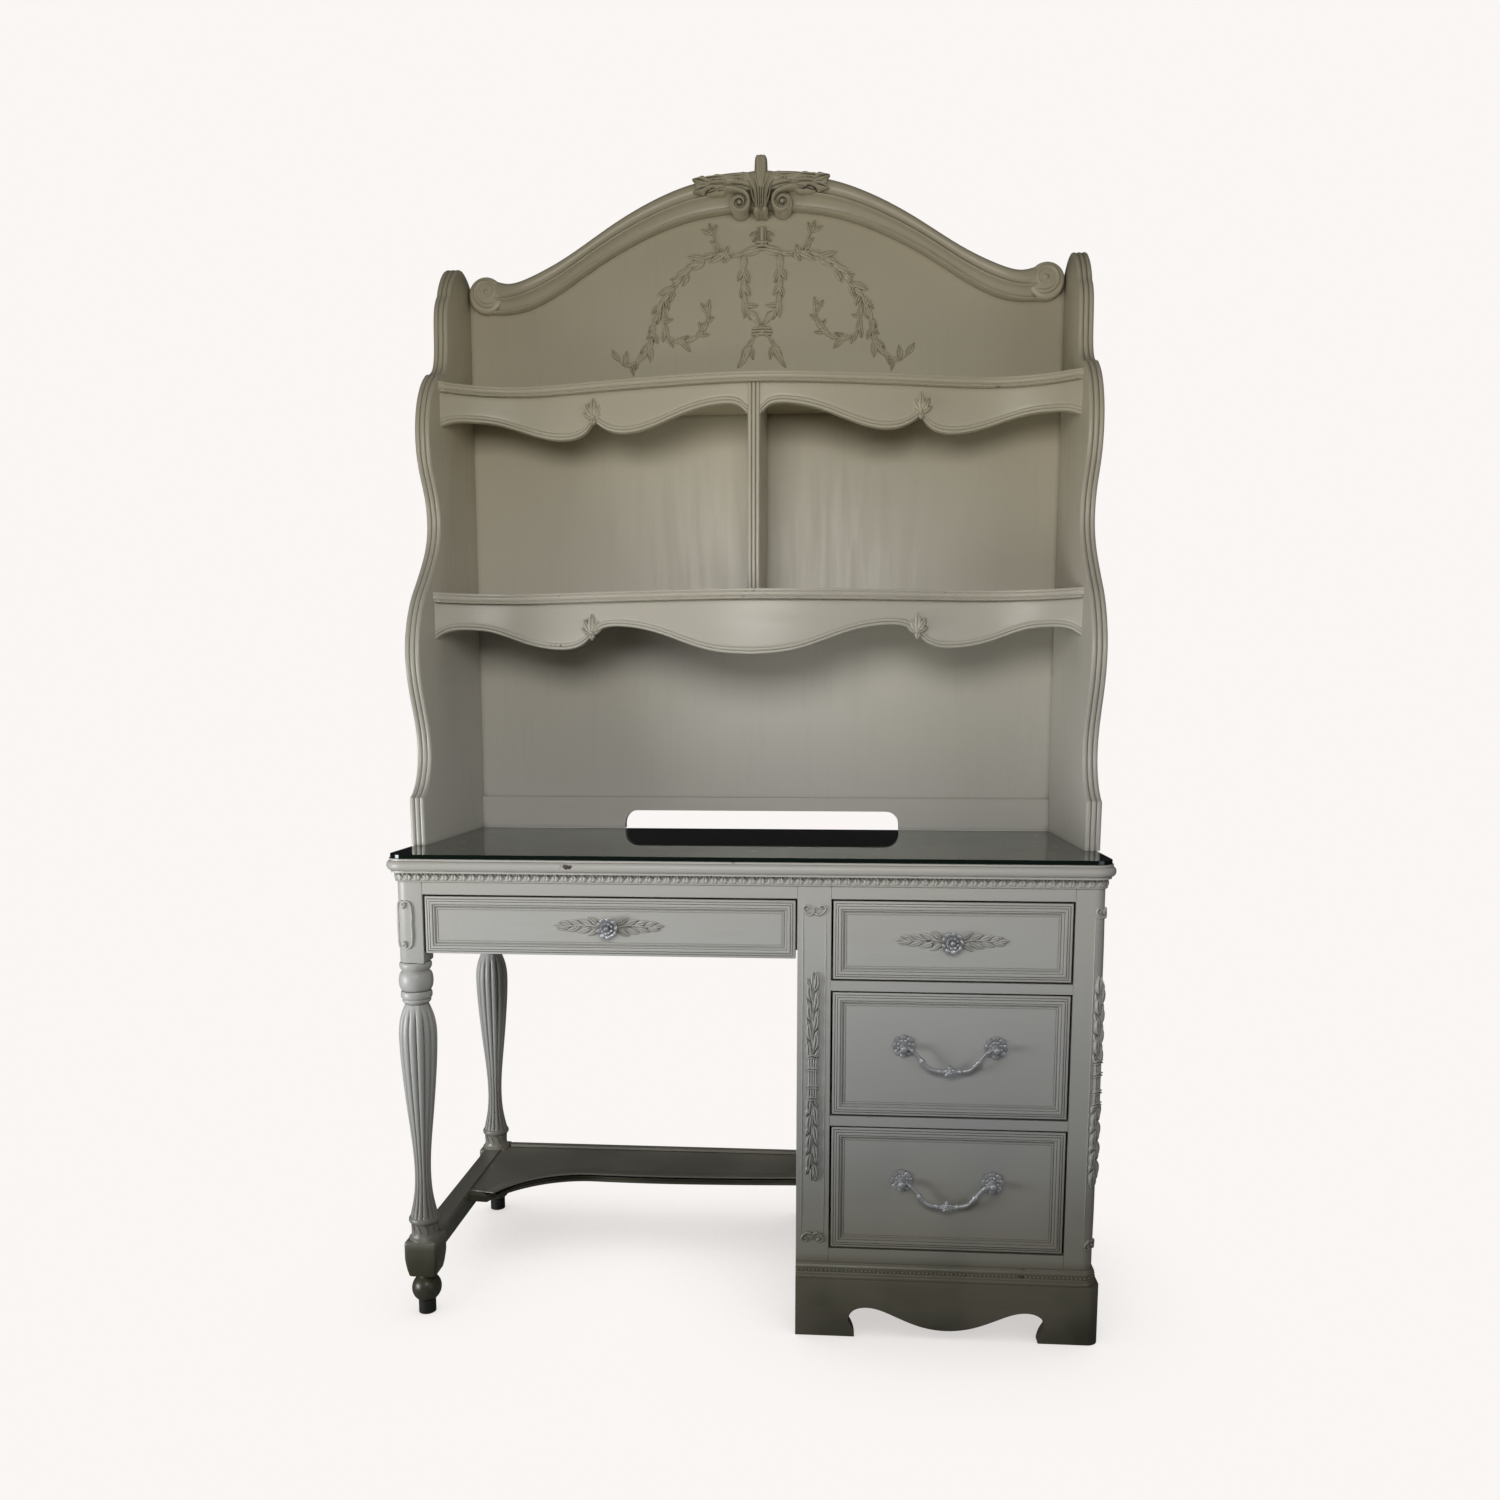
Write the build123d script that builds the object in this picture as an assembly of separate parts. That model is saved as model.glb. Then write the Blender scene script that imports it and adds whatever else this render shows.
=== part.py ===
from build123d import *
import os

# A writing desk with a drawer pedestal and its shelf hutch, in antiqued painted wood.
# Millimetres, +Z up, +X to the user's right, the user sits on the -Y side.
# The origin is the centre of the footprint on the floor.

# ---------------------------------------------------------------- driving dimensions
TOP_HALF_WIDTH = 563.0        # desk top, centre to side edge
TOP_FRONT = -248.0            # front edge of the desk top
BACK_PLANE = 246.0            # back edge of the desk top and of the hutch sides
CASE_HALF_WIDTH = 550.0       # outer faces of the desk case
FACE_Y = -224.0               # front faces of stiles, rails and drawers
CASE_BACK_Y = 234.0
RAIL_THICKNESS = 20.0
RAIL_BACK_Y = FACE_Y + RAIL_THICKNESS
PANEL_THICKNESS = 18.0

GLASS_TOP_Z = 768.0
GLASS_THICKNESS = 6.0
BUMPER_HEIGHT = 1.0
DESK_TOP_Z = GLASS_TOP_Z - GLASS_THICKNESS - BUMPER_HEIGHT
DESK_TOP_THICKNESS = 22.0
CASE_TOP_Z = DESK_TOP_Z - DESK_TOP_THICKNESS
TOP_BEAD_HEIGHT = 16.0
TOP_BEAD_DEPTH = 8.0
CORNER_RADIUS = 18.0          # rounded outer corners of the case posts

POST_SIZE = 44.0              # square head of each leg and the pedestal corner post
POST_BOTTOM_Z = 591.0
KNEEHOLE_LEFT = -CASE_HALF_WIDTH + POST_SIZE
PEDESTAL_LEFT = 84.0
STILE_WIDTH = 52.0
DRAWER_GAP = 3.0              # gap at the sides and top of every drawer front
APRON_BOTTOM_Z = 603.0
TOP_RAIL_BOTTOM_Z = 703.0

# Each drawer front: left, right, bottom, top.
CENTRE_FRONT = (KNEEHOLE_LEFT + DRAWER_GAP, PEDESTAL_LEFT - DRAWER_GAP, 609.0, 700.0)
OPENING_LEFT = PEDESTAL_LEFT + STILE_WIDTH
OPENING_RIGHT = CASE_HALF_WIDTH - POST_SIZE - 2.0
PEDESTAL_FRONTS = {
    "top": (OPENING_LEFT + DRAWER_GAP, OPENING_RIGHT - DRAWER_GAP, 578.0, 700.0),
    "middle": (OPENING_LEFT + DRAWER_GAP, OPENING_RIGHT - DRAWER_GAP, 362.0, 557.0),
    "bottom": (OPENING_LEFT + DRAWER_GAP, OPENING_RIGHT - DRAWER_GAP, 144.0, 341.0),
}
RAIL_GAP = 2.5                # gap between a drawer front and the rail under or over it

PLINTH_TOP_Z = 95.0
PLINTH_PROUD = 10.0
PLINTH_THICKNESS = 20.0
BASE_BEAD_HEIGHT = 24.0
BASE_BEAD_DEPTH = 7.0

LEG_X = -CASE_HALF_WIDTH + POST_SIZE / 2
FRONT_LEG_Y = FACE_Y + POST_SIZE / 2
BACK_LEG_Y = CASE_BACK_Y - POST_SIZE / 2
GLIDE_HEIGHT = 22.0
GLIDE_RADIUS = 14.0
STRETCHER_TOP_Z = 130.0
STRETCHER_HEIGHT = 38.0
STRETCHER_WIDTH = 30.0
SHELF_STRETCHER_THICKNESS = 22.0

SIDE_THICKNESS = 25.0
HUTCH_HALF_WIDTH = 562.0
HUTCH_INNER = HUTCH_HALF_WIDTH - SIDE_THICKNESS
BACK_FRONT_Y = 221.0          # front face of the hutch back panel
BACK_THICKNESS = 12.0
SHELF_THICKNESS = 17.0
UPPER_SHELF_Z = 1544.0        # top faces of the two shelves
LOWER_SHELF_Z = 1188.0
APRON_SETBACK = 6.0           # aprons stand this far behind the shelf edge
APRON_THICKNESS = 14.0
DIVIDER_HALF = 10.0
CROWN_FRONT_Y = 192.0
CREST_FRONT_Y = 174.0
RAIL_PROUD = 7.0              # bottom rail of the hutch back, in front of the panel
RAIL_TOP_Z = 827.0
CABLE_HALF_WIDTH = 260.0
CABLE_TOP_Z = 802.0
CABLE_RADIUS = 25.0

PULL_SPACING = 141.0
PIVOT_Y = FACE_Y - 12.0
PANEL_Y = FACE_Y + 3.0        # recessed field of each drawer front


# ---------------------------------------------------------------- small helpers
def block(x0, x1, y0, y1, z0, z1):
    """A square-edged board between two opposite corners."""
    centre = Pos((x0 + x1) / 2, (y0 + y1) / 2, (z0 + z1) / 2)
    return centre * Box(x1 - x0, y1 - y0, z1 - z0)


def elevation(edges, y0, y1):
    """A front-view outline, drawn as (x, z), made into a board from y0 back to y1."""
    plane = Plane(origin=(0, y1, 0), x_dir=(1, 0, 0), z_dir=(0, -1, 0))
    return extrude(plane * make_face(edges), amount=y1 - y0, dir=(0, -1, 0))


def side_view(edges, x0, x1):
    """A side-view outline, drawn as (y, z), made into a board from x0 to x1."""
    plane = Plane(origin=(x0, 0, 0), x_dir=(0, 1, 0), z_dir=(1, 0, 0))
    return extrude(plane * make_face(edges), amount=x1 - x0, dir=(1, 0, 0))


def plan(edges, z0, z1):
    """A plan-view outline, drawn as (x, y), made into a board from z0 up to z1."""
    return extrude(Pos(0, 0, z0) * make_face(edges), amount=z1 - z0, dir=(0, 0, 1))


def rod(x, y, z, radius, length, axis):
    """A round rod that starts at a point and runs along +X, -Y or +Z."""
    turn = {"x": (0, 90, 0), "y": (90, 0, 0), "z": (0, 0, 0)}[axis]
    rod_shape = Cylinder(radius, length, align=(Align.CENTER, Align.CENTER, Align.MIN))
    return Pos(x, y, z) * (Rot(*turn) * rod_shape)


def mirrored_curve(half):
    """Points of a left-right symmetric curve, from the points of its right half."""
    left = [(-x, v) for x, v in reversed(half) if x > 0]
    return left + list(half)


def upright_corner(shape, x_sign, radius):
    """Round the outer front upright edge of a post."""
    edges = shape.edges().filter_by(Axis.Z).group_by(Axis.Y)[0].sort_by(Axis.X)
    corner = edges[-1] if x_sign > 0 else edges[0]
    return fillet(corner, radius)


def group(shapes):
    """Several separate solids handled as one."""
    return Compound([solid for shape in shapes for solid in shape.solids()])


def save(name, shape):
    export_step(Compound(label=name, children=list(shape.solids())), f"parts/{name}.step")


os.makedirs("parts", exist_ok=True)

# ---------------------------------------------------------------- hutch curves
# Front edge of the upper shelf in plan: forward at the middle and at both ends.
SHELF_CURVE = [(0, 5), (160, 24), (260, 45), (340, 64), (420, 71), (485, 55), (HUTCH_INNER, 24)]
LOWER_SHELF_FORWARD = 60.0    # the lower shelf comes this much further forward


def shelf_curve(forward, setback):
    return mirrored_curve([(x, y - forward + setback) for x, y in SHELF_CURVE])


# Side panel: front edge from the top down, in three runs that meet at the shelf ends.
SIDE_TOP = [(BACK_PLANE, 1744), (214, 1768), (178, 1775), (138, 1756), (104, 1708)]
SIDE_UPPER = [(104, 1708), (82, 1650), (76, 1592), (33, 1557)]
SIDE_MIDDLE = [(33, 1557), (-12, 1510), (-28, 1462), (-20, 1396), (9, 1345), (15, 1296), (-18, 1236),
               (-57, 1194)]
SIDE_LOWER = [(-57, 1194), (-96, 1142), (-112, 1086), (-100, 1022), (-76, 966), (-68, 918), (-80, 878),
              (-113, 847)]
SIDE_FOOT_Y = -111.0

# Crown: top and bottom edges of the moulding, ending in a round volute.
CROWN_TOP = [(0, 1931), (70, 1928), (122, 1919), (188, 1896), (272, 1852), (356, 1800), (411, 1773),
             (462, 1761)]
CROWN_BOTTOM = [(0, 1876), (57, 1873), (131, 1862), (216, 1832), (303, 1786), (390, 1733), (440, 1714),
                (486, 1709)]
VOLUTE = (503.0, 1742.0, 32.0)
BACK_TOP = [(0, 1922), (100, 1911), (188, 1880), (272, 1836), (356, 1783), (440, 1744), (HUTCH_INNER, 1736)]

# Scalloped lower edges of the aprons, from the middle outwards.
UPPER_SCALLOP = [(12, 1479), (22, 1490), (55, 1496), (120, 1484), (205, 1459), (245, 1462), (262, 1470),
                 (278, 1482)]
UPPER_SCALLOP_OUT = [(278, 1482), (290, 1466), (306, 1457), (335, 1454), (400, 1468), (465, 1484),
                     (500, 1484)]
UPPER_SCALLOP_END = [(500, 1484), (522, 1480), (HUTCH_INNER, 1472)]
LOWER_SCALLOP = [(0, 1082), (70, 1089), (150, 1116), (225, 1131), (258, 1127), (274, 1117)]
LOWER_SCALLOP_OUT = [(274, 1117), (288, 1104), (306, 1096), (336, 1094), (400, 1106), (460, 1125),
                     (500, 1127)]
LOWER_SCALLOP_END = [(500, 1127), (522, 1122), (HUTCH_INNER, 1111)]


# ---------------------------------------------------------------- hutch
def hutch_side():
    """One serpentine side board, drawn for the right-hand side."""
    edges = [
        Spline(*SIDE_TOP),
        Spline(*SIDE_UPPER),
        Spline(*SIDE_MIDDLE),
        Spline(*SIDE_LOWER),
        Polyline(SIDE_LOWER[-1], (SIDE_FOOT_Y, GLASS_TOP_Z), (BACK_PLANE, GLASS_TOP_Z), SIDE_TOP[0]),
    ]
    return side_view(edges, HUTCH_INNER, HUTCH_HALF_WIDTH)


def cable_cutter():
    """The round-topped opening for cables, open at its foot."""
    cutter = block(-CABLE_HALF_WIDTH, CABLE_HALF_WIDTH, 200, 240, GLASS_TOP_Z - 10, CABLE_TOP_Z)
    corners = cutter.edges().filter_by(Axis.Y).group_by(Axis.Z)[-1]
    return fillet(corners, CABLE_RADIUS)


def hutch_back():
    top = mirrored_curve(BACK_TOP)
    edges = [
        Spline(*top),
        Polyline(top[-1], (HUTCH_INNER, GLASS_TOP_Z), (-HUTCH_INNER, GLASS_TOP_Z), top[0]),
    ]
    return elevation(edges, BACK_FRONT_Y, BACK_FRONT_Y + BACK_THICKNESS) - cable_cutter()


def shelf(top_z, forward):
    front = shelf_curve(forward, 0)
    edges = [
        Spline(*front),
        Polyline(front[-1], (HUTCH_INNER, BACK_FRONT_Y), (-HUTCH_INNER, BACK_FRONT_Y), front[0]),
    ]
    return plan(edges, top_z - SHELF_THICKNESS, top_z)


def curved_strip(forward, z0, z1):
    """A thin upright strip that follows a shelf's front curve."""
    front = shelf_curve(forward, APRON_SETBACK)
    rear = shelf_curve(forward, APRON_SETBACK + APRON_THICKNESS)
    edges = [
        Spline(*front),
        Line(front[-1], rear[-1]),
        Spline(*rear),
        Line(rear[0], front[0]),
    ]
    return plan(edges, z0, z1)


def upper_apron():
    """The right-hand apron under the upper shelf, ending against the divider."""
    top_z = UPPER_SHELF_Z - SHELF_THICKNESS
    outline = [
        Spline(*UPPER_SCALLOP),
        Spline(*UPPER_SCALLOP_OUT),
        Spline(*UPPER_SCALLOP_END),
        Polyline(UPPER_SCALLOP_END[-1], (HUTCH_INNER, top_z), (DIVIDER_HALF, top_z),
                 (DIVIDER_HALF, UPPER_SCALLOP[0][1]), UPPER_SCALLOP[0]),
    ]
    return curved_strip(0, 1440, top_z) & elevation(outline, -60, 120)


def lower_apron():
    top_z = LOWER_SHELF_Z - SHELF_THICKNESS
    right = [Spline(*LOWER_SCALLOP_OUT), Spline(*LOWER_SCALLOP_END)]
    left = [mirror(curve, Plane.YZ) for curve in right]
    middle = Spline(*mirrored_curve(LOWER_SCALLOP))
    corner = LOWER_SCALLOP_END[-1]
    frame = Polyline(corner, (HUTCH_INNER, top_z), (-HUTCH_INNER, top_z), (-corner[0], corner[1]))
    outline = [middle, *right, *left, frame]
    return curved_strip(LOWER_SHELF_FORWARD, 1060, top_z) & elevation(outline, -120, 80)


def crown_half():
    """The right-hand half of the crown moulding with its volute."""
    end_top = CROWN_TOP[-1]
    end_bottom = CROWN_BOTTOM[-1]
    edges = [
        Spline(*CROWN_TOP),
        Polyline(end_top, (VOLUTE[0], end_top[1] - 4), (VOLUTE[0], end_bottom[1] + 8), end_bottom),
        Spline(*CROWN_BOTTOM),
        Line(CROWN_BOTTOM[0], CROWN_TOP[0]),
    ]
    band = elevation(edges, CROWN_FRONT_Y, BACK_FRONT_Y)
    depth = BACK_FRONT_Y - CROWN_FRONT_Y
    return band + rod(VOLUTE[0], BACK_FRONT_Y, VOLUTE[1], VOLUTE[2], depth, "y")


def crest():
    """The carved leaf and volutes that cover the joint of the crown halves."""
    half = [(0, 1955), (9, 1952), (14, 1936), (30, 1930), (70, 1936), (123, 1927)]
    lower = [(123, 1927), (118, 1903), (80, 1890), (54, 1896), (52, 1874), (36, 1860), (18, 1864)]
    tip = [(18, 1864), (14, 1838), (0, 1820)]
    right = [Spline(*half), Spline(*lower), Spline(*tip), Line(tip[-1], half[0])]
    half_solid = elevation(right, CREST_FRONT_Y, CROWN_FRONT_Y)
    return half_solid + mirror(half_solid, Plane.YZ)


STEM_WIDTH = 7.0              # carved stems of the garland
STEM_DEPTH = 5.0


def band(points):
    """A flat curved strip of even width on the front of the back panel."""
    path = Spline(*points)
    upper = []
    lower = []
    steps = 8
    for i in range(steps + 1):
        here = path @ (i / steps)
        along = path % (i / steps)
        aside = Vector(-along.Y, along.X) * STEM_WIDTH / 2
        upper.append(here + aside)
        lower.append(here - aside)
    edges = [Spline(*upper), Line(upper[-1], lower[-1]), Spline(*lower), Line(lower[0], upper[0])]
    return elevation(edges, BACK_FRONT_Y - STEM_DEPTH, BACK_FRONT_Y)


def garland():
    """The stems of the leaf garland: a stem, a cross branch, two C-scrolls and an oval."""
    scroll = [(0, 1812), (70, 1808), (144, 1782), (189, 1738), (202, 1690), (181, 1667), (136, 1663),
              (104, 1682), (107, 1718)]
    tail = [(200, 1682), (214, 1648), (244, 1630), (270, 1641)]
    oval = [(26, 1806), (34, 1780), (31, 1735), (16, 1700), (0, 1672)]
    foot = [(0, 1672), (18, 1640), (37, 1614)]
    sprig = [(66, 1812), (82, 1832), (93, 1848)]
    half = band(scroll) + band(tail) + band(oval) + band(foot) + band(sprig)
    stem = block(-STEM_WIDTH / 2, STEM_WIDTH / 2, BACK_FRONT_Y - STEM_DEPTH, BACK_FRONT_Y, 1800, 1856)
    return half + mirror(half, Plane.YZ) + stem


def pointed_leaf(x0, x1, z, half_height, y0, y1):
    """A lens-shaped leaf lying along X."""
    middle = (x0 + x1) / 2
    edges = [
        ThreePointArc((x0, z), (middle, z + half_height), (x1, z)),
        ThreePointArc((x1, z), (middle, z - half_height), (x0, z)),
    ]
    return elevation(edges, y0, y1)


def apron_carving(x, y_face, z):
    """A small carved leaf over an apron notch."""
    edges = [
        Spline((x - 3, z - 8), (x - 16, z + 8), (x - 12, z + 26), (x, z + 34)),
        Spline((x, z + 34), (x + 12, z + 26), (x + 16, z + 8), (x + 3, z - 8)),
        Line((x + 3, z - 8), (x - 3, z - 8)),
    ]
    return elevation(edges, y_face - 5, y_face)


hutch_side_right = hutch_side()
hutch_back_panel = hutch_back()
upper_shelf = shelf(UPPER_SHELF_Z, 0)
lower_shelf = shelf(LOWER_SHELF_Z, LOWER_SHELF_FORWARD)
divider = block(-DIVIDER_HALF, DIVIDER_HALF, SHELF_CURVE[0][1] + 3, BACK_FRONT_Y,
                LOWER_SHELF_Z, UPPER_SHELF_Z - SHELF_THICKNESS)
back_rail = block(-HUTCH_INNER, HUTCH_INNER, BACK_FRONT_Y - RAIL_PROUD, BACK_FRONT_Y,
                  GLASS_TOP_Z, RAIL_TOP_Z) - cable_cutter()

# Dowels between the shelves, sides and divider, and screws through the back panel.
DOWEL_RADIUS = 4.0
DOWEL_HALF = 14.0
dowels = []
for shelf_top in (UPPER_SHELF_Z, LOWER_SHELF_Z):
    shelf_middle = shelf_top - SHELF_THICKNESS / 2
    for dowel_y in (110.0, 180.0):
        dowels.append(rod(HUTCH_INNER - DOWEL_HALF, dowel_y, shelf_middle, DOWEL_RADIUS, 2 * DOWEL_HALF, "x"))
for dowel_y in (90.0, 170.0):
    lower_end = LOWER_SHELF_Z - SHELF_THICKNESS / 2
    upper_end = UPPER_SHELF_Z - SHELF_THICKNESS - 10
    dowels.append(rod(0, dowel_y, lower_end, DOWEL_RADIUS - 1, 20, "z"))
    dowels.append(rod(0, dowel_y, upper_end, DOWEL_RADIUS - 1, 20, "z"))
dowels += [mirror(d, Plane.YZ) for d in dowels[:4]]

SCREW_RADIUS = 2.0
SCREW_LENGTH = 32.0
HEAD_RADIUS = 4.0
HEAD_HEIGHT = 2.0


def screw_from_behind(x, y_head, z, length):
    """A countersunk wood screw that enters from the back, its head flush at y_head."""
    shank = rod(x, y_head - HEAD_HEIGHT, z, SCREW_RADIUS, length - HEAD_HEIGHT, "y")
    return shank + rod(x, y_head, z, HEAD_RADIUS, HEAD_HEIGHT, "y")


back_screws = []
for shelf_top in (UPPER_SHELF_Z, LOWER_SHELF_Z):
    for screw_x in (-430.0, -150.0, 150.0, 430.0):
        screw_z = shelf_top - SHELF_THICKNESS / 2
        back_screws.append(screw_from_behind(screw_x, BACK_FRONT_Y + BACK_THICKNESS, screw_z, SCREW_LENGTH))

TIE_X = HUTCH_HALF_WIDTH - SIDE_THICKNESS / 2
TIE_THICKNESS = 2.0
TIE_HALF_WIDTH = 9.0
TIE_SCREW_LENGTH = 24.0
TIE_BOTTOM_Z = CASE_TOP_Z + 2
TIE_TOP_Z = GLASS_TOP_Z + 46
TIE_SCREW_HEIGHTS = (DESK_TOP_Z - 11, GLASS_TOP_Z + 18, GLASS_TOP_Z + 36)
tie_plates = []
tie_screws = []
tie_face_y = BACK_PLANE + TIE_THICKNESS
for tie_x in (-TIE_X, TIE_X):
    edges_x = (tie_x - TIE_HALF_WIDTH, tie_x + TIE_HALF_WIDTH)
    tie_plates.append(block(*edges_x, BACK_PLANE, tie_face_y, TIE_BOTTOM_Z, TIE_TOP_Z))
    for screw_z in TIE_SCREW_HEIGHTS:
        tie_screws.append(screw_from_behind(tie_x, tie_face_y, screw_z, TIE_SCREW_LENGTH))

screw_tools = group(back_screws + tie_screws)
dowel_tool = group(dowels)
hutch_side_left = mirror(hutch_side_right, Plane.YZ) - dowel_tool - screw_tools
hutch_side_right = hutch_side_right - dowel_tool - screw_tools

save("hutch_side_left", hutch_side_left)
save("hutch_side_right", hutch_side_right)
save("hutch_back_panel", hutch_back_panel - screw_tools)
save("hutch_back_rail", back_rail)
save("hutch_upper_shelf", upper_shelf - dowel_tool - screw_tools)
save("hutch_lower_shelf", lower_shelf - dowel_tool - screw_tools)
save("hutch_centre_divider", divider - dowel_tool)
right_apron = upper_apron()
save("hutch_upper_aprons", group([right_apron, mirror(right_apron, Plane.YZ)]))
save("hutch_lower_apron", lower_apron())
right_crown = crown_half()
save("hutch_crown_left", mirror(right_crown, Plane.YZ))
save("hutch_crown_right", right_crown)
save("hutch_crest_carving", crest())
save("hutch_garland_carving", garland())

# The carved leaves touch the aprons where the scallops come to a point.
upper_carving_y = 49.0 + APRON_SETBACK
lower_carving_y = 47.0 - LOWER_SHELF_FORWARD + APRON_SETBACK
carvings = []
for side in (-1, 1):
    carvings.append(apron_carving(side * 278, upper_carving_y - 1, 1480))
    carvings.append(apron_carving(side * 274, lower_carving_y - 1, 1116))
apron_tool = group([right_apron, mirror(right_apron, Plane.YZ), lower_apron()])
save("hutch_apron_carvings", group(carvings) - apron_tool)
save("hutch_dowels", dowel_tool)
save("hutch_tie_plates", group(tie_plates) - group(tie_screws))
save("hutch_screws", screw_tools)

# ---------------------------------------------------------------- glass and desk top
def rounded_top(inset, radius, z0, z1, y_back):
    """A board with two rounded front corners, inset from the widest line of the top."""
    half = TOP_HALF_WIDTH - inset
    board = block(-half, half, TOP_FRONT + inset, y_back, z0, z1)
    corners = board.edges().filter_by(Axis.Z).group_by(Axis.Y)[0]
    return fillet(corners, radius)


def moulded_top():
    """The desk top with a round nosing between two small steps."""
    nosing = rounded_top(0, 34, DESK_TOP_Z - 19, DESK_TOP_Z - 3, BACK_PLANE)
    back_edges = nosing.edges().group_by(Axis.Y)[-1]
    level_edges = [e for e in nosing.edges() if abs(e.bounding_box().size.Z) < 0.01 and e not in back_edges]
    nosing = fillet(level_edges, 7.5)
    upper_step = rounded_top(4, 30, DESK_TOP_Z - 3, DESK_TOP_Z, BACK_PLANE)
    lower_step = rounded_top(6, 28, CASE_TOP_Z, DESK_TOP_Z - 19, BACK_PLANE)
    return nosing + upper_step + lower_step


GLASS_INSET = 6.0
GLASS_BACK_Y = BACK_FRONT_Y - RAIL_PROUD - 1
glass = rounded_top(GLASS_INSET, 28, GLASS_TOP_Z - GLASS_THICKNESS, GLASS_TOP_Z, GLASS_BACK_Y)
save("glass_top", chamfer(glass.edges().group_by(Axis.Z)[-1], 0.8))
bumpers = []
for bumper_x in (-510.0, 0.0, 510.0):
    for bumper_y in (-200.0, 0.0, 190.0):
        bumpers.append(rod(bumper_x, bumper_y, DESK_TOP_Z, 6, BUMPER_HEIGHT, "z"))
save("glass_bumpers", group(bumpers))
desk_top = moulded_top() - group(tie_screws)
save("desk_top", desk_top)

# Carved bead course under the top, round the front and both sides.
bead_front = block(-CASE_HALF_WIDTH - TOP_BEAD_DEPTH, CASE_HALF_WIDTH + TOP_BEAD_DEPTH,
                   FACE_Y - TOP_BEAD_DEPTH, CASE_BACK_Y, CASE_TOP_Z - TOP_BEAD_HEIGHT, CASE_TOP_Z)
bead_front = fillet(bead_front.edges().filter_by(Axis.Z).group_by(Axis.Y)[0], CORNER_RADIUS + TOP_BEAD_DEPTH)
case_core = block(-CASE_HALF_WIDTH, CASE_HALF_WIDTH, FACE_Y, CASE_BACK_Y + 1,
                  CASE_TOP_Z - TOP_BEAD_HEIGHT, CASE_TOP_Z)
case_core = fillet(case_core.edges().filter_by(Axis.Z).group_by(Axis.Y)[0], CORNER_RADIUS)
save("desk_top_bead", bead_front - case_core)

# ---------------------------------------------------------------- legs and stretchers
BALL_Z = 42.0
BALL_RADIUS = 24.0
LOWER_BLOCK_BOTTOM_Z = 68.0
LOWER_BLOCK_TOP_Z = STRETCHER_TOP_Z
LOWER_BLOCK_SIZE = 54.0


def turned_column():
    """The round part of a leg: rings, a long fluted vase and a collar."""
    vase = [(18.5, 523.0), (25.5, 505.0), (29.5, 484.0), (30.0, 462.0), (27.5, 415.0), (19.6, 330.0),
            (13.5, 262.0), (13.0, 234.0), (15.5, 200.0), (22.5, 166.0)]
    outline = [
        Polyline((0, POST_BOTTOM_Z), (24.5, POST_BOTTOM_Z), (25.5, 587), (24, 580), (21.5, 577)),
        ThreePointArc((21.5, 577), (27, 561), (22, 545)),
        Polyline((22, 545), (24.5, 543), (24.5, 529), (18.5, 523)),
        Spline(*vase),
        Polyline((22.5, 166), (24.5, 160), (24.5, 153), (22, 151), (25, LOWER_BLOCK_TOP_Z),
                 (0, LOWER_BLOCK_TOP_Z), (0, POST_BOTTOM_Z)),
    ]
    return revolve(Plane.XZ * make_face(outline), Axis.Z)


def leg(y, round_corner):
    """A whole left-hand leg: square head, turned column, tapered block and ball."""
    half = POST_SIZE / 2
    head = block(-half, half, -half, half, POST_BOTTOM_Z, CASE_TOP_Z)
    if round_corner:
        head = upright_corner(head, -1, CORNER_RADIUS)
    low, high = -LOWER_BLOCK_SIZE / 2, LOWER_BLOCK_SIZE / 2
    foot_block = block(low, high, low, high, LOWER_BLOCK_BOTTOM_Z, LOWER_BLOCK_TOP_Z)
    foot_block = chamfer(foot_block.edges().group_by(Axis.Z)[0], 20, 5)
    foot_block = fillet(foot_block.edges().group_by(Axis.Z)[-1], 3)
    ball = Pos(0, 0, BALL_Z) * Sphere(BALL_RADIUS)
    neck = Pos(0, 0, 60) * Cylinder(12, 18)
    floor_cut = Pos(0, 0, GLIDE_HEIGHT / 2) * Box(80, 80, GLIDE_HEIGHT)
    ball = ball - floor_cut
    return Pos(LEG_X, y, 0) * (head + turned_column() + foot_block + neck + ball)


save("front_left_leg", leg(FRONT_LEG_Y, True))
save("back_left_leg", leg(BACK_LEG_Y, False))
glides = [rod(LEG_X, y, 0, GLIDE_RADIUS, GLIDE_HEIGHT, "z") for y in (FRONT_LEG_Y, BACK_LEG_Y)]
save("leg_glides", group(glides))

half_block = LOWER_BLOCK_SIZE / 2
side_stretcher = block(LEG_X - STRETCHER_WIDTH / 2, LEG_X + STRETCHER_WIDTH / 2,
                       FRONT_LEG_Y + half_block, BACK_LEG_Y - half_block,
                       STRETCHER_TOP_Z - STRETCHER_HEIGHT, STRETCHER_TOP_Z)
save("side_stretcher", side_stretcher)

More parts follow.
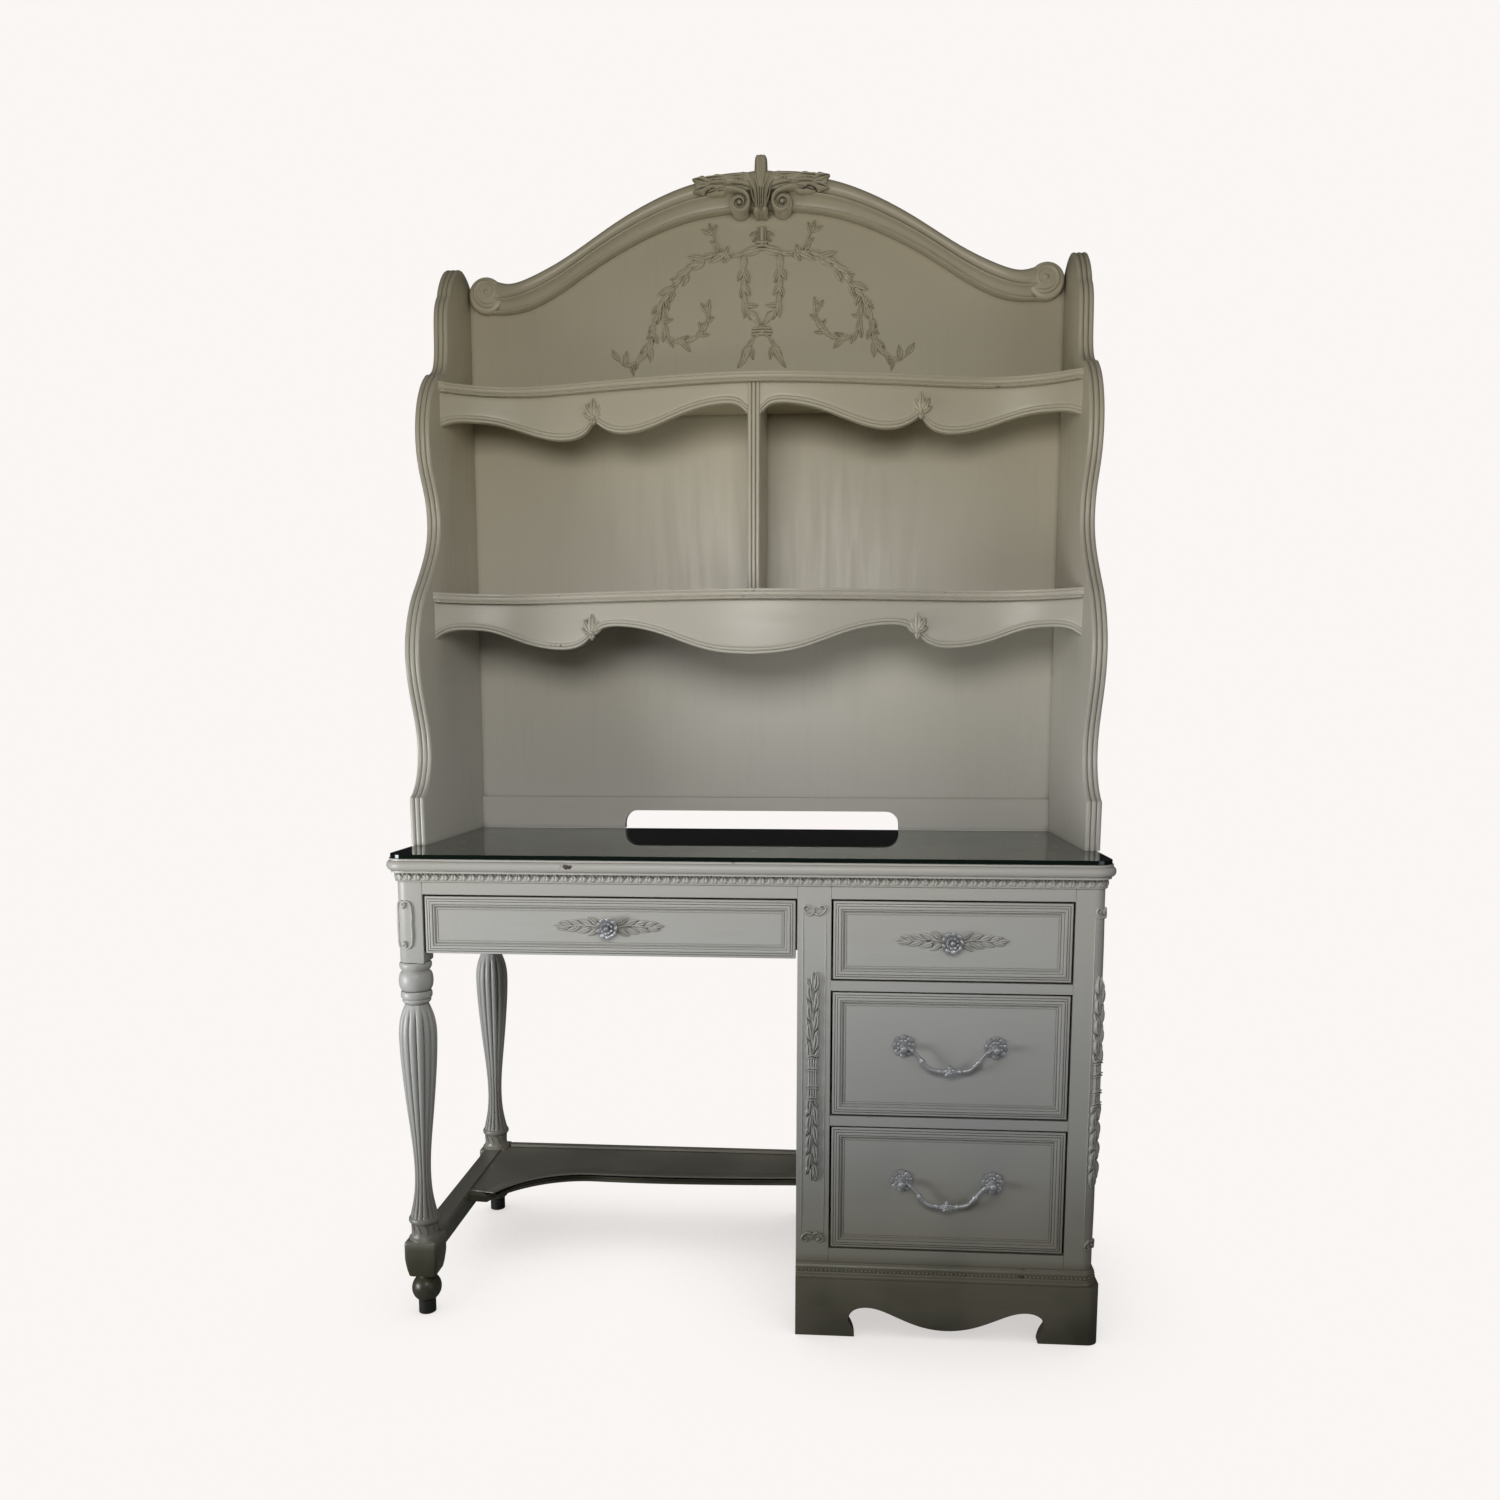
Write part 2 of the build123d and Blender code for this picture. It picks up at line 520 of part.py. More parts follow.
# The back stretcher is a narrow shelf that sweeps forward where it meets the side stretcher.
SHELF_BACK_Y = 221.0
SHELF_FRONT_Y = 102.0
SHELF_SWEEP_Y = -10.0         # how far forward the sweep reaches along the side stretcher
shelf_left = LEG_X + STRETCHER_WIDTH / 2
notch_x = LEG_X + half_block
notch_y = BACK_LEG_Y - half_block
shelf_sweep = [(shelf_left + 26, SHELF_SWEEP_Y), (shelf_left + 58, 38), (shelf_left + 120, 84),
               (shelf_left + 210, SHELF_FRONT_Y)]
shelf_edges = [
    Polyline(shelf_sweep[-1], (PEDESTAL_LEFT, SHELF_FRONT_Y + 10), (PEDESTAL_LEFT, SHELF_BACK_Y),
             (notch_x, SHELF_BACK_Y), (notch_x, notch_y), (shelf_left, notch_y),
             (shelf_left, SHELF_SWEEP_Y), shelf_sweep[0]),
    Spline(*shelf_sweep),
]
save("shelf_stretcher", plan(shelf_edges, STRETCHER_TOP_Z - SHELF_STRETCHER_THICKNESS, STRETCHER_TOP_Z))

# ---------------------------------------------------------------- desk case
post_inner = KNEEHOLE_LEFT
head_back = FACE_Y + POST_SIZE
back_head_front = CASE_BACK_Y - POST_SIZE
save("left_apron", block(-CASE_HALF_WIDTH + 4, -CASE_HALF_WIDTH + 24, head_back, back_head_front,
                         APRON_BOTTOM_Z, CASE_TOP_Z))
save("back_apron", block(post_inner, PEDESTAL_LEFT, CASE_BACK_Y - 24, CASE_BACK_Y - 4,
                         APRON_BOTTOM_Z, CASE_TOP_Z))
save("front_top_rail", block(post_inner, PEDESTAL_LEFT, FACE_Y, RAIL_BACK_Y, TOP_RAIL_BOTTOM_Z, CASE_TOP_Z))

pedestal_back_front = CASE_BACK_Y - 12
side_left_inner = PEDESTAL_LEFT + PANEL_THICKNESS
side_right_inner = CASE_HALF_WIDTH - PANEL_THICKNESS
save("pedestal_left_side", block(PEDESTAL_LEFT, side_left_inner, RAIL_BACK_Y, pedestal_back_front,
                                 PLINTH_TOP_Z, CASE_TOP_Z))
save("pedestal_right_side", block(side_right_inner, CASE_HALF_WIDTH, head_back, pedestal_back_front,
                                  PLINTH_TOP_Z, CASE_TOP_Z))
save("pedestal_back", block(PEDESTAL_LEFT, CASE_HALF_WIDTH, pedestal_back_front, CASE_BACK_Y,
                            PLINTH_TOP_Z, CASE_TOP_Z))
save("pedestal_bottom", block(side_left_inner, side_right_inner, head_back, pedestal_back_front,
                              PLINTH_TOP_Z, PLINTH_TOP_Z + 12))
save("pedestal_left_stile", block(PEDESTAL_LEFT, OPENING_LEFT, FACE_Y, RAIL_BACK_Y, PLINTH_TOP_Z, CASE_TOP_Z))
corner_post = block(OPENING_RIGHT, CASE_HALF_WIDTH, FACE_Y, head_back, PLINTH_TOP_Z, CASE_TOP_Z)
save("pedestal_corner_post", upright_corner(corner_post, 1, CORNER_RADIUS))

rails = [block(OPENING_LEFT, OPENING_RIGHT, FACE_Y, RAIL_BACK_Y, TOP_RAIL_BOTTOM_Z, CASE_TOP_Z)]
for upper_name, lower_name in (("top", "middle"), ("middle", "bottom")):
    rail_top = PEDESTAL_FRONTS[upper_name][2] - RAIL_GAP
    rail_bottom = PEDESTAL_FRONTS[lower_name][3] + RAIL_GAP
    rails.append(block(OPENING_LEFT, OPENING_RIGHT, FACE_Y, RAIL_BACK_Y, rail_bottom, rail_top))
rails.append(block(OPENING_LEFT, OPENING_RIGHT, FACE_Y, RAIL_BACK_Y, PLINTH_TOP_Z,
                   PEDESTAL_FRONTS["bottom"][2] - RAIL_GAP))
save("pedestal_rails", group(rails))


def stepped_runner(x_wall, x_side, x_ledge, top_z):
    """A wooden runner: a ledge under the drawer side and a guide beside it."""
    y0 = RAIL_BACK_Y if x_wall < 300 else head_back
    low, high = sorted((x_wall, x_ledge))
    ledge = block(low, high, y0, pedestal_back_front, top_z - 16, top_z)
    low, high = sorted((x_wall, x_side))
    return ledge + block(low, high, y0, pedestal_back_front, top_z, top_z + 14)


BOX_INSET = 8.0               # the drawer box is this much narrower than its front, each side
BOX_SIDE = 12.0
runners = []
for left, right, bottom, top in PEDESTAL_FRONTS.values():
    runners.append(stepped_runner(side_left_inner, left + BOX_INSET - 1.5, left + BOX_INSET + 14, bottom))
    runners.append(stepped_runner(side_right_inner, right - BOX_INSET + 1.5, right - BOX_INSET - 14, bottom))
save("pedestal_drawer_runners", group(runners))

CENTRE_BOX_INSET = 19.0
CENTRE_BOX_BOTTOM = 631.0
CENTRE_BOX_TOP = 688.0


def channel_runner(x_wall, x_web, x_lip):
    """A C-shaped channel that holds the edge of the kneehole drawer."""
    ends = (head_back, back_head_front)
    low, high = sorted((x_wall, x_lip))
    body = block(low, high, *ends, CENTRE_BOX_BOTTOM - 17, CENTRE_BOX_TOP + 14)
    low, high = sorted((x_web, x_lip + (x_lip - x_web)))
    return body - block(low, high, *ends, CENTRE_BOX_BOTTOM - 0.5, CENTRE_BOX_TOP + 1)


centre_left, centre_right = CENTRE_FRONT[0] + CENTRE_BOX_INSET, CENTRE_FRONT[1] - CENTRE_BOX_INSET
channels = [
    channel_runner(-CASE_HALF_WIDTH + 24, centre_left - 1.5, centre_left + 9),
    channel_runner(PEDESTAL_LEFT, centre_right + 1.5, centre_right - 9),
]
save("centre_drawer_runners", group(channels))

# ---------------------------------------------------------------- plinth
ARCH_LEFT = [(178, 0), (176, 10), (168, 26)]
ARCH_SCALLOP = [(168, 26), (177, 44), (196, 49), (237, 38), (280, 21), (322, 15), (364, 21), (407, 38),
                (448, 49), (467, 44), (476, 26)]
ARCH_RIGHT = [(476, 26), (468, 10), (466, 0)]
plinth_front_y = FACE_Y - PLINTH_PROUD
plinth_right = CASE_HALF_WIDTH + PLINTH_PROUD
front_edges = [
    Spline(*ARCH_LEFT),
    Spline(*ARCH_SCALLOP),
    Spline(*ARCH_RIGHT),
    Polyline(ARCH_RIGHT[-1], (plinth_right, 0), (plinth_right, PLINTH_TOP_Z), (PEDESTAL_LEFT, PLINTH_TOP_Z),
             (PEDESTAL_LEFT, 0), ARCH_LEFT[0]),
]
plinth_front = elevation(front_edges, plinth_front_y, plinth_front_y + PLINTH_THICKNESS)
plinth_front = upright_corner(plinth_front, 1, CORNER_RADIUS)
save("base_plinth_front", plinth_front)


def plinth_side(x0, x1):
    """A side of the plinth, arched between its two feet."""
    y0 = plinth_front_y + PLINTH_THICKNESS
    y1 = CASE_BACK_Y
    foot = 72.0
    arch = [(y0 + foot, 0), (y0 + foot - 10, 26), (y0 + foot + 14, 46), ((y0 + y1) / 2, 32),
            (y1 - foot - 14, 46), (y1 - foot + 10, 26), (y1 - foot, 0)]
    edges = [
        Spline(*arch),
        Polyline(arch[-1], (y1, 0), (y1, PLINTH_TOP_Z), (y0, PLINTH_TOP_Z), (y0, 0), arch[0]),
    ]
    return side_view(edges, x0, x1)


sides = [
    plinth_side(PEDESTAL_LEFT, PEDESTAL_LEFT + PLINTH_THICKNESS).solid(),
    plinth_side(plinth_right - PLINTH_THICKNESS, plinth_right).solid(),
]
save("base_plinth_sides", group(sides))
corner_blocks = []
block_y0 = plinth_front_y + PLINTH_THICKNESS
for x0 in (PEDESTAL_LEFT + PLINTH_THICKNESS, plinth_right - PLINTH_THICKNESS - 30):
    corner_blocks.append(block(x0, x0 + 30, block_y0, block_y0 + 30, 2, PLINTH_TOP_Z))
    corner_blocks.append(block(x0, x0 + 30, CASE_BACK_Y - 30, CASE_BACK_Y, 2, PLINTH_TOP_Z))
save("plinth_corner_blocks", group(corner_blocks))

bead_top = PLINTH_TOP_Z + BASE_BEAD_HEIGHT
base_bead = block(PEDESTAL_LEFT, CASE_HALF_WIDTH + BASE_BEAD_DEPTH, FACE_Y - BASE_BEAD_DEPTH, CASE_BACK_Y,
                  PLINTH_TOP_Z, bead_top)
base_bead = upright_corner(base_bead, 1, CORNER_RADIUS + BASE_BEAD_DEPTH)
case_foot = upright_corner(block(PEDESTAL_LEFT - 1, CASE_HALF_WIDTH, FACE_Y, CASE_BACK_Y + 1,
                                 PLINTH_TOP_Z, bead_top), 1, CORNER_RADIUS)
save("base_bead", base_bead - case_foot)

# ---------------------------------------------------------------- carved trim on the posts
CARVING_DEPTH = 4.0
stile_middle = (PEDESTAL_LEFT + OPENING_LEFT) / 2


def rounded_post(size, radius, x_sign, z0, z1):
    """A square post centred on a case corner post, its outer front edge rounded."""
    inner_x = x_sign * (CASE_HALF_WIDTH - POST_SIZE)
    outer_x = x_sign * (CASE_HALF_WIDTH + size)
    low, high = sorted((inner_x, outer_x))
    return upright_corner(block(low, high, FACE_Y - size, FACE_Y + POST_SIZE, z0, z1), x_sign, radius)


def corner_carving(x_sign, facing, width, z0, z1):
    """A carved strip wrapped round the outer front corner of a post, facing the given way."""
    shell = rounded_post(CARVING_DEPTH, CORNER_RADIUS + CARVING_DEPTH, x_sign, z0, z1)
    shell -= rounded_post(0, CORNER_RADIUS, x_sign, z0, z1)
    corner = Pos(x_sign * (CASE_HALF_WIDTH - CORNER_RADIUS), FACE_Y + CORNER_RADIUS, z0)
    sector = Box(60, width, z1 - z0, align=(Align.MIN, Align.CENTER, Align.MIN))
    return shell & (corner * Rot(0, 0, facing) * sector)


VINE = (14.0, 261.0, 589.0)           # width, bottom, top
UPPER_SCROLL = (36.0, 676.0, 694.0)
LOWER_SCROLL = (36.0, 152.0, 170.0)
trim = []
for width, z0, z1 in (VINE, UPPER_SCROLL, LOWER_SCROLL):
    half = width / 2
    trim.append(block(stile_middle - half, stile_middle + half, FACE_Y - CARVING_DEPTH, FACE_Y, z0, z1))
    trim.append(corner_carving(1, -45, min(width, 24), z0, z1))
trim.append(corner_carving(-1, -108, 26, 612, 695))
save("post_carvings", group(trim))

# ---------------------------------------------------------------- drawers
FRAME_WIDTH = 16.0            # raised frame, with its slope down to the field
FRAME_SLOPE = 8.0
BEAD_INSET = 16.5
BEAD_WIDTH = 3.5
BEAD_RAISE = 1.2


def moulded_front(left, right, bottom, top):
    """A drawer front with a raised frame and a fine inner bead."""
    def field(inset, y0, y1):
        """The drawer front's rectangle, this much smaller all round."""
        return block(left + inset, right - inset, y0, y1, bottom + inset, top - inset)

    def outline(inset, y):
        """The same rectangle as a flat face."""
        plane = Plane(origin=((left + right) / 2, y, (bottom + top) / 2), x_dir=(1, 0, 0), z_dir=(0, -1, 0))
        return plane * Rectangle(right - left - 2 * inset, top - bottom - 2 * inset)

    slab = field(0, PANEL_Y, RAIL_BACK_Y)
    well = loft([outline(FRAME_WIDTH, PANEL_Y), outline(FRAME_WIDTH - FRAME_SLOPE, FACE_Y)])
    frame = field(0, FACE_Y, PANEL_Y) - well
    outer_bead = field(BEAD_INSET, PANEL_Y - BEAD_RAISE, PANEL_Y)
    bead = outer_bead - field(BEAD_INSET + BEAD_WIDTH, PANEL_Y - BEAD_RAISE, PANEL_Y)
    return slab + frame + bead


def drawer_box(left, right, bottom, top, back_y):
    """Two sides, a back and a thin bottom panel set into the sides."""
    y0 = RAIL_BACK_Y
    floor_z = bottom + 8
    sides = [
        block(left, left + BOX_SIDE, y0, back_y, bottom, top),
        block(right - BOX_SIDE, right, y0, back_y, bottom, top),
        block(left + BOX_SIDE, right - BOX_SIDE, back_y - BOX_SIDE, back_y, floor_z + 5, top),
    ]
    panel = block(left + BOX_SIDE - 5, right - BOX_SIDE + 5, y0, back_y, floor_z, floor_z + 5)
    sides = [s - panel for s in sides]
    return group(sides + [panel])


ROSETTE_THICKNESS = 5.0
BOLT_RADIUS = 2.0


def bolt_hole(x, z):
    return rod(x, RAIL_BACK_Y, z, BOLT_RADIUS, RAIL_THICKNESS, "y")


def knob(x, z):
    """A flower knob on a stem, with the bolt that holds it from inside the drawer."""
    stem = rod(x, PANEL_Y, z, 8, 10, "y")
    flower = rod(x, PANEL_Y - 10, z, 17, 8, "y")
    flower = fillet(flower.edges().group_by(Axis.Y)[0], 5)
    centre = rod(x, PANEL_Y - 18, z, 5, 3, "y")
    bolt = rod(x, RAIL_BACK_Y, z, BOLT_RADIUS, RAIL_BACK_Y - PANEL_Y, "y")
    bolt_head = rod(x, RAIL_BACK_Y + 2.5, z, 4.5, 2.5, "y")
    return stem + flower + centre + bolt + bolt_head


POST_RADIUS = 5.5
PIVOT_HOLE = 2.0
HOLE_DEPTH = 5.0
PIVOT_PIN = 1.95
LEAF_RADIUS = 9.0
LEAF_DEPTH = 8.0


def pull_posts(x, z):
    """Two rosettes with drilled posts that carry a bail."""
    posts = []
    for side in (-1, 1):
        post_x = x + side * PULL_SPACING / 2
        rosette = rod(post_x, PANEL_Y, z, 18, ROSETTE_THICKNESS, "y")
        rosette = fillet(rosette.edges().group_by(Axis.Y)[0], 3)
        post = rod(post_x, PANEL_Y - ROSETTE_THICKNESS, z, POST_RADIUS, 17, "y")
        bolt = rod(post_x, RAIL_BACK_Y, z, BOLT_RADIUS, RAIL_BACK_Y - PANEL_Y, "y")
        bolt_head = rod(post_x, RAIL_BACK_Y + 2.5, z, 4.5, 2.5, "y")
        hole_start = POST_RADIUS - HOLE_DEPTH if side < 0 else -POST_RADIUS - 3
        hole = rod(post_x + hole_start, PIVOT_Y, z, PIVOT_HOLE, HOLE_DEPTH + 3, "x")
        posts.append((rosette + post + bolt + bolt_head - hole).solid())
    return group(posts)


def bail(x, z):
    """A drooping handle with pivot pins at its ends and a leaf at its middle."""
    reach = PULL_SPACING / 2 - POST_RADIUS - 0.5
    drop = 34.0
    half_way = [(reach - 36, -drop + 2), (reach - 20, -9), (reach - 2, 0)]
    corners = mirrored_curve([(0, -drop)] + half_way)
    plane = Plane(origin=(x, PIVOT_Y, z), x_dir=(1, 0, 0), z_dir=(0, -1, 0))
    path = plane * FilletPolyline(*corners, radius=[9, 12, 60, 12, 9])
    section = Plane(origin=path @ 0, z_dir=path % 0) * Circle(2.8)
    handle = sweep(section, path=path)
    for side in (-1, 1):
        handle += Pos(x + side * (reach - 3), PIVOT_Y, z) * Sphere(3.0)
        start = x + (reach - 3 if side > 0 else -reach - 4)
        handle += rod(start, PIVOT_Y, z, PIVOT_PIN, 7, "x")
    leaf = rod(x, PIVOT_Y + LEAF_DEPTH / 2, z - drop, LEAF_RADIUS, LEAF_DEPTH, "y")
    return handle + fillet(leaf.edges(), 2.5)


def spray(x, z):
    """Carved leaves either side of a knob."""
    leaves = [
        pointed_leaf(x - 85, x - 19, z, 8, PANEL_Y - CARVING_DEPTH, PANEL_Y),
        pointed_leaf(x + 19, x + 85, z, 8, PANEL_Y - CARVING_DEPTH, PANEL_Y),
    ]
    return group(leaves)


centre_x = (CENTRE_FRONT[0] + CENTRE_FRONT[1]) / 2
centre_z = (CENTRE_FRONT[2] + CENTRE_FRONT[3]) / 2
save("centre_drawer_front", moulded_front(*CENTRE_FRONT) - bolt_hole(centre_x, centre_z))
save("centre_drawer_box", drawer_box(centre_left, centre_right, CENTRE_BOX_BOTTOM, CENTRE_BOX_TOP, 176))
save("centre_drawer_knob", knob(centre_x, centre_z))
save("centre_drawer_spray", spray(centre_x, centre_z))

BOX_BACK_Y = 206.0
for name, (left, right, bottom, top) in PEDESTAL_FRONTS.items():
    front = moulded_front(left, right, bottom, top)
    middle_x = (left + right) / 2
    middle_z = (bottom + top) / 2
    if name == "top":
        front -= bolt_hole(middle_x, middle_z)
        save("top_drawer_knob", knob(middle_x, middle_z))
        save("top_drawer_spray", spray(middle_x, middle_z))
    else:
        pull_z = middle_z + 14
        for side in (-1, 1):
            front -= bolt_hole(middle_x + side * PULL_SPACING / 2, pull_z)
        save(f"{name}_drawer_pull_posts", pull_posts(middle_x, pull_z))
        save(f"{name}_drawer_bail", bail(middle_x, pull_z))
    save(f"{name}_drawer_front", front)
    box_sides = (left + BOX_INSET, right - BOX_INSET)
    save(f"{name}_drawer_box", drawer_box(*box_sides, bottom + 0.5, top - 14, BOX_BACK_Y))
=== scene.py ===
import math
import bmesh
import bpy
import numpy as np
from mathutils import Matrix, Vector


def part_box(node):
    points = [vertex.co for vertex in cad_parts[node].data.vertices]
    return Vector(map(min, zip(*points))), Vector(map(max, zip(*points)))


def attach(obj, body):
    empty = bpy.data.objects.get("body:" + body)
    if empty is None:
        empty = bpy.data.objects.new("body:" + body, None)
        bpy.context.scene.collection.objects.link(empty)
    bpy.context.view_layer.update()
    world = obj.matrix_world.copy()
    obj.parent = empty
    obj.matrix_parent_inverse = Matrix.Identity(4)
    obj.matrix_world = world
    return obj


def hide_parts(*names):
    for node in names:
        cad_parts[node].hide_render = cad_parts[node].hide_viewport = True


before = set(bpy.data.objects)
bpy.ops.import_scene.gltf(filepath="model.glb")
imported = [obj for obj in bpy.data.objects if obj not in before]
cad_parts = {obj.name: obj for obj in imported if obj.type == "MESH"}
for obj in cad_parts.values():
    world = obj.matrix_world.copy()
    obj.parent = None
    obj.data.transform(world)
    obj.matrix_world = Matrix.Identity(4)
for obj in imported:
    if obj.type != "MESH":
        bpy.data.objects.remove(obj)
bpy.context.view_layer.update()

# A painted kneehole desk with a pedestal of drawers and its scroll-crowned hutch.
# Metres, in the frame's own axes: +X to the sitter's right, the sitter on the -Y side.
MM = 0.001
ROOT = "desk_and_hutch"


# ---------------------------------------------------------------- curves and outlines
def in_mm(points):
    """Points given in millimetres, as metres."""
    return np.array(points) * MM


def distances(points):
    """How far along a polyline each of its points is."""
    return np.r_[0, np.cumsum(np.linalg.norm(np.diff(points, axis=0), axis=1))]


def spline(points, count):
    """A smooth curve through points, resampled to count points at even spacing along it."""
    p = np.asarray(points, float)
    t = distances(p)
    s = np.linspace(0, t[-1], count)
    n = len(p)
    if n == 2:
        return p[0] + (p[1] - p[0]) * (s / t[-1])[:, None]
    h = np.diff(t)
    system = np.eye(n)
    right = np.zeros_like(p)
    for i in range(1, n - 1):
        system[i, i - 1:i + 2] = (h[i - 1], 2 * (h[i - 1] + h[i]), h[i])
        right[i] = 6 * ((p[i + 1] - p[i]) / h[i] - (p[i] - p[i - 1]) / h[i - 1])
    m = np.linalg.solve(system, right)
    k = np.clip(np.searchsorted(t, s, side="right") - 1, 0, n - 2)
    a, b, w = (t[k + 1] - s)[:, None], (s - t[k])[:, None], h[k][:, None]
    return (m[k] * a ** 3 + m[k + 1] * b ** 3) / (6 * w) \
        + (p[k] / w - m[k] * w / 6) * a + (p[k + 1] / w - m[k + 1] * w / 6) * b


def runs(*curves, step=4 * MM):
    """Several curves that meet end to end, each resampled, as one polyline."""
    parts = []
    for points in curves:
        part = spline(points, max(2, int(distances(points)[-1] / step) + 1))
        parts.append(part if not parts else part[1:])
    return np.vstack(parts)


def outline(node, axis, value):
    """The longest boundary loop of a CAD node's flat faces at one coordinate, as 2-D points."""
    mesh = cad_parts[node].data
    co = np.array([v.co for v in mesh.vertices])
    keep = [i for i in range(3) if i != axis]
    key = [tuple(np.round(c[keep], 6)) for c in co]
    edges = set()
    for face in mesh.polygons:
        ids = list(face.vertices)
        if all(abs(co[i][axis] - value) < 1e-5 for i in ids):
            edges.update((key[a], key[b]) for a, b in zip(ids, ids[1:] + ids[:1]))
    border = dict(e for e in edges if (e[1], e[0]) not in edges)
    loops = []
    while border:
        start = min(border)
        loop = [start]
        while border.get(loop[-1], start) != start:
            loop.append(border.pop(loop[-1]))
        border.pop(loop[-1], None)
        loops.append(np.array(loop))
    return max(loops, key=lambda q: distances(q)[-1])


def between(loop, start, end):
    """The part of a closed loop from the point nearest start on to the point nearest end."""
    a = int(np.argmin(np.linalg.norm(loop - np.array(start), axis=1)))
    b = int(np.argmin(np.linalg.norm(loop - np.array(end), axis=1)))
    count = (b - a) % len(loop) + 1
    return loop[(a + np.arange(count)) % len(loop)]


def front_run(loop, start, end, column):
    """The way round a loop from start to end that lies nearer the sitter. column is the one that holds Y."""
    return min(between(loop, start, end), between(loop, end, start)[::-1], key=lambda q: q[:, column].mean())


def normals(points, closed=False):
    """Mitred normals on the left of a 2-D polyline's direction."""
    p = np.asarray(points, float)
    if closed:
        back, ahead = p - np.roll(p, 1, 0), np.roll(p, -1, 0) - p
    else:
        d = np.diff(p, axis=0)
        back, ahead = np.vstack([d[:1], d]), np.vstack([d, d[-1:]])
    back = back / np.linalg.norm(back, axis=1)[:, None]
    ahead = ahead / np.linalg.norm(ahead, axis=1)[:, None]
    nb, na = np.c_[-back[:, 1], back[:, 0]], np.c_[-ahead[:, 1], ahead[:, 0]]
    scale = 1 + np.sum(nb * na, axis=1)
    return (nb + na) / np.maximum(scale, 0.4)[:, None]


def circle(sides):
    """Angles of that many even steps round a circle."""
    return np.arange(sides) * 2 * math.pi / sides


def rectangle(x0, x1, z0, z1):
    return np.array([(x0, z0), (x1, z0), (x1, z1), (x0, z1)])


def upright(y_front):
    """Places (x, z, depth) points on a board whose front face is at y_front."""
    return lambda p, depth: np.c_[p[:, 0], np.full(len(p), y_front + depth), p[:, 1]]


def flat(y_face):
    """Places carving points (x, z, height), in millimetres, on a face that looks towards the sitter."""
    return lambda a, b, h: np.stack([a * MM, y_face - h * MM, b * MM], axis=-1)


def raised(place, lift):
    """The same placing, lift millimetres off the face."""
    return lambda a, b, h: place(a, b, h + lift)


def both_sides(place):
    """A placing for the right half, and its mirror image for the left half."""
    return place, lambda a, b, h: place(-a, b, h)


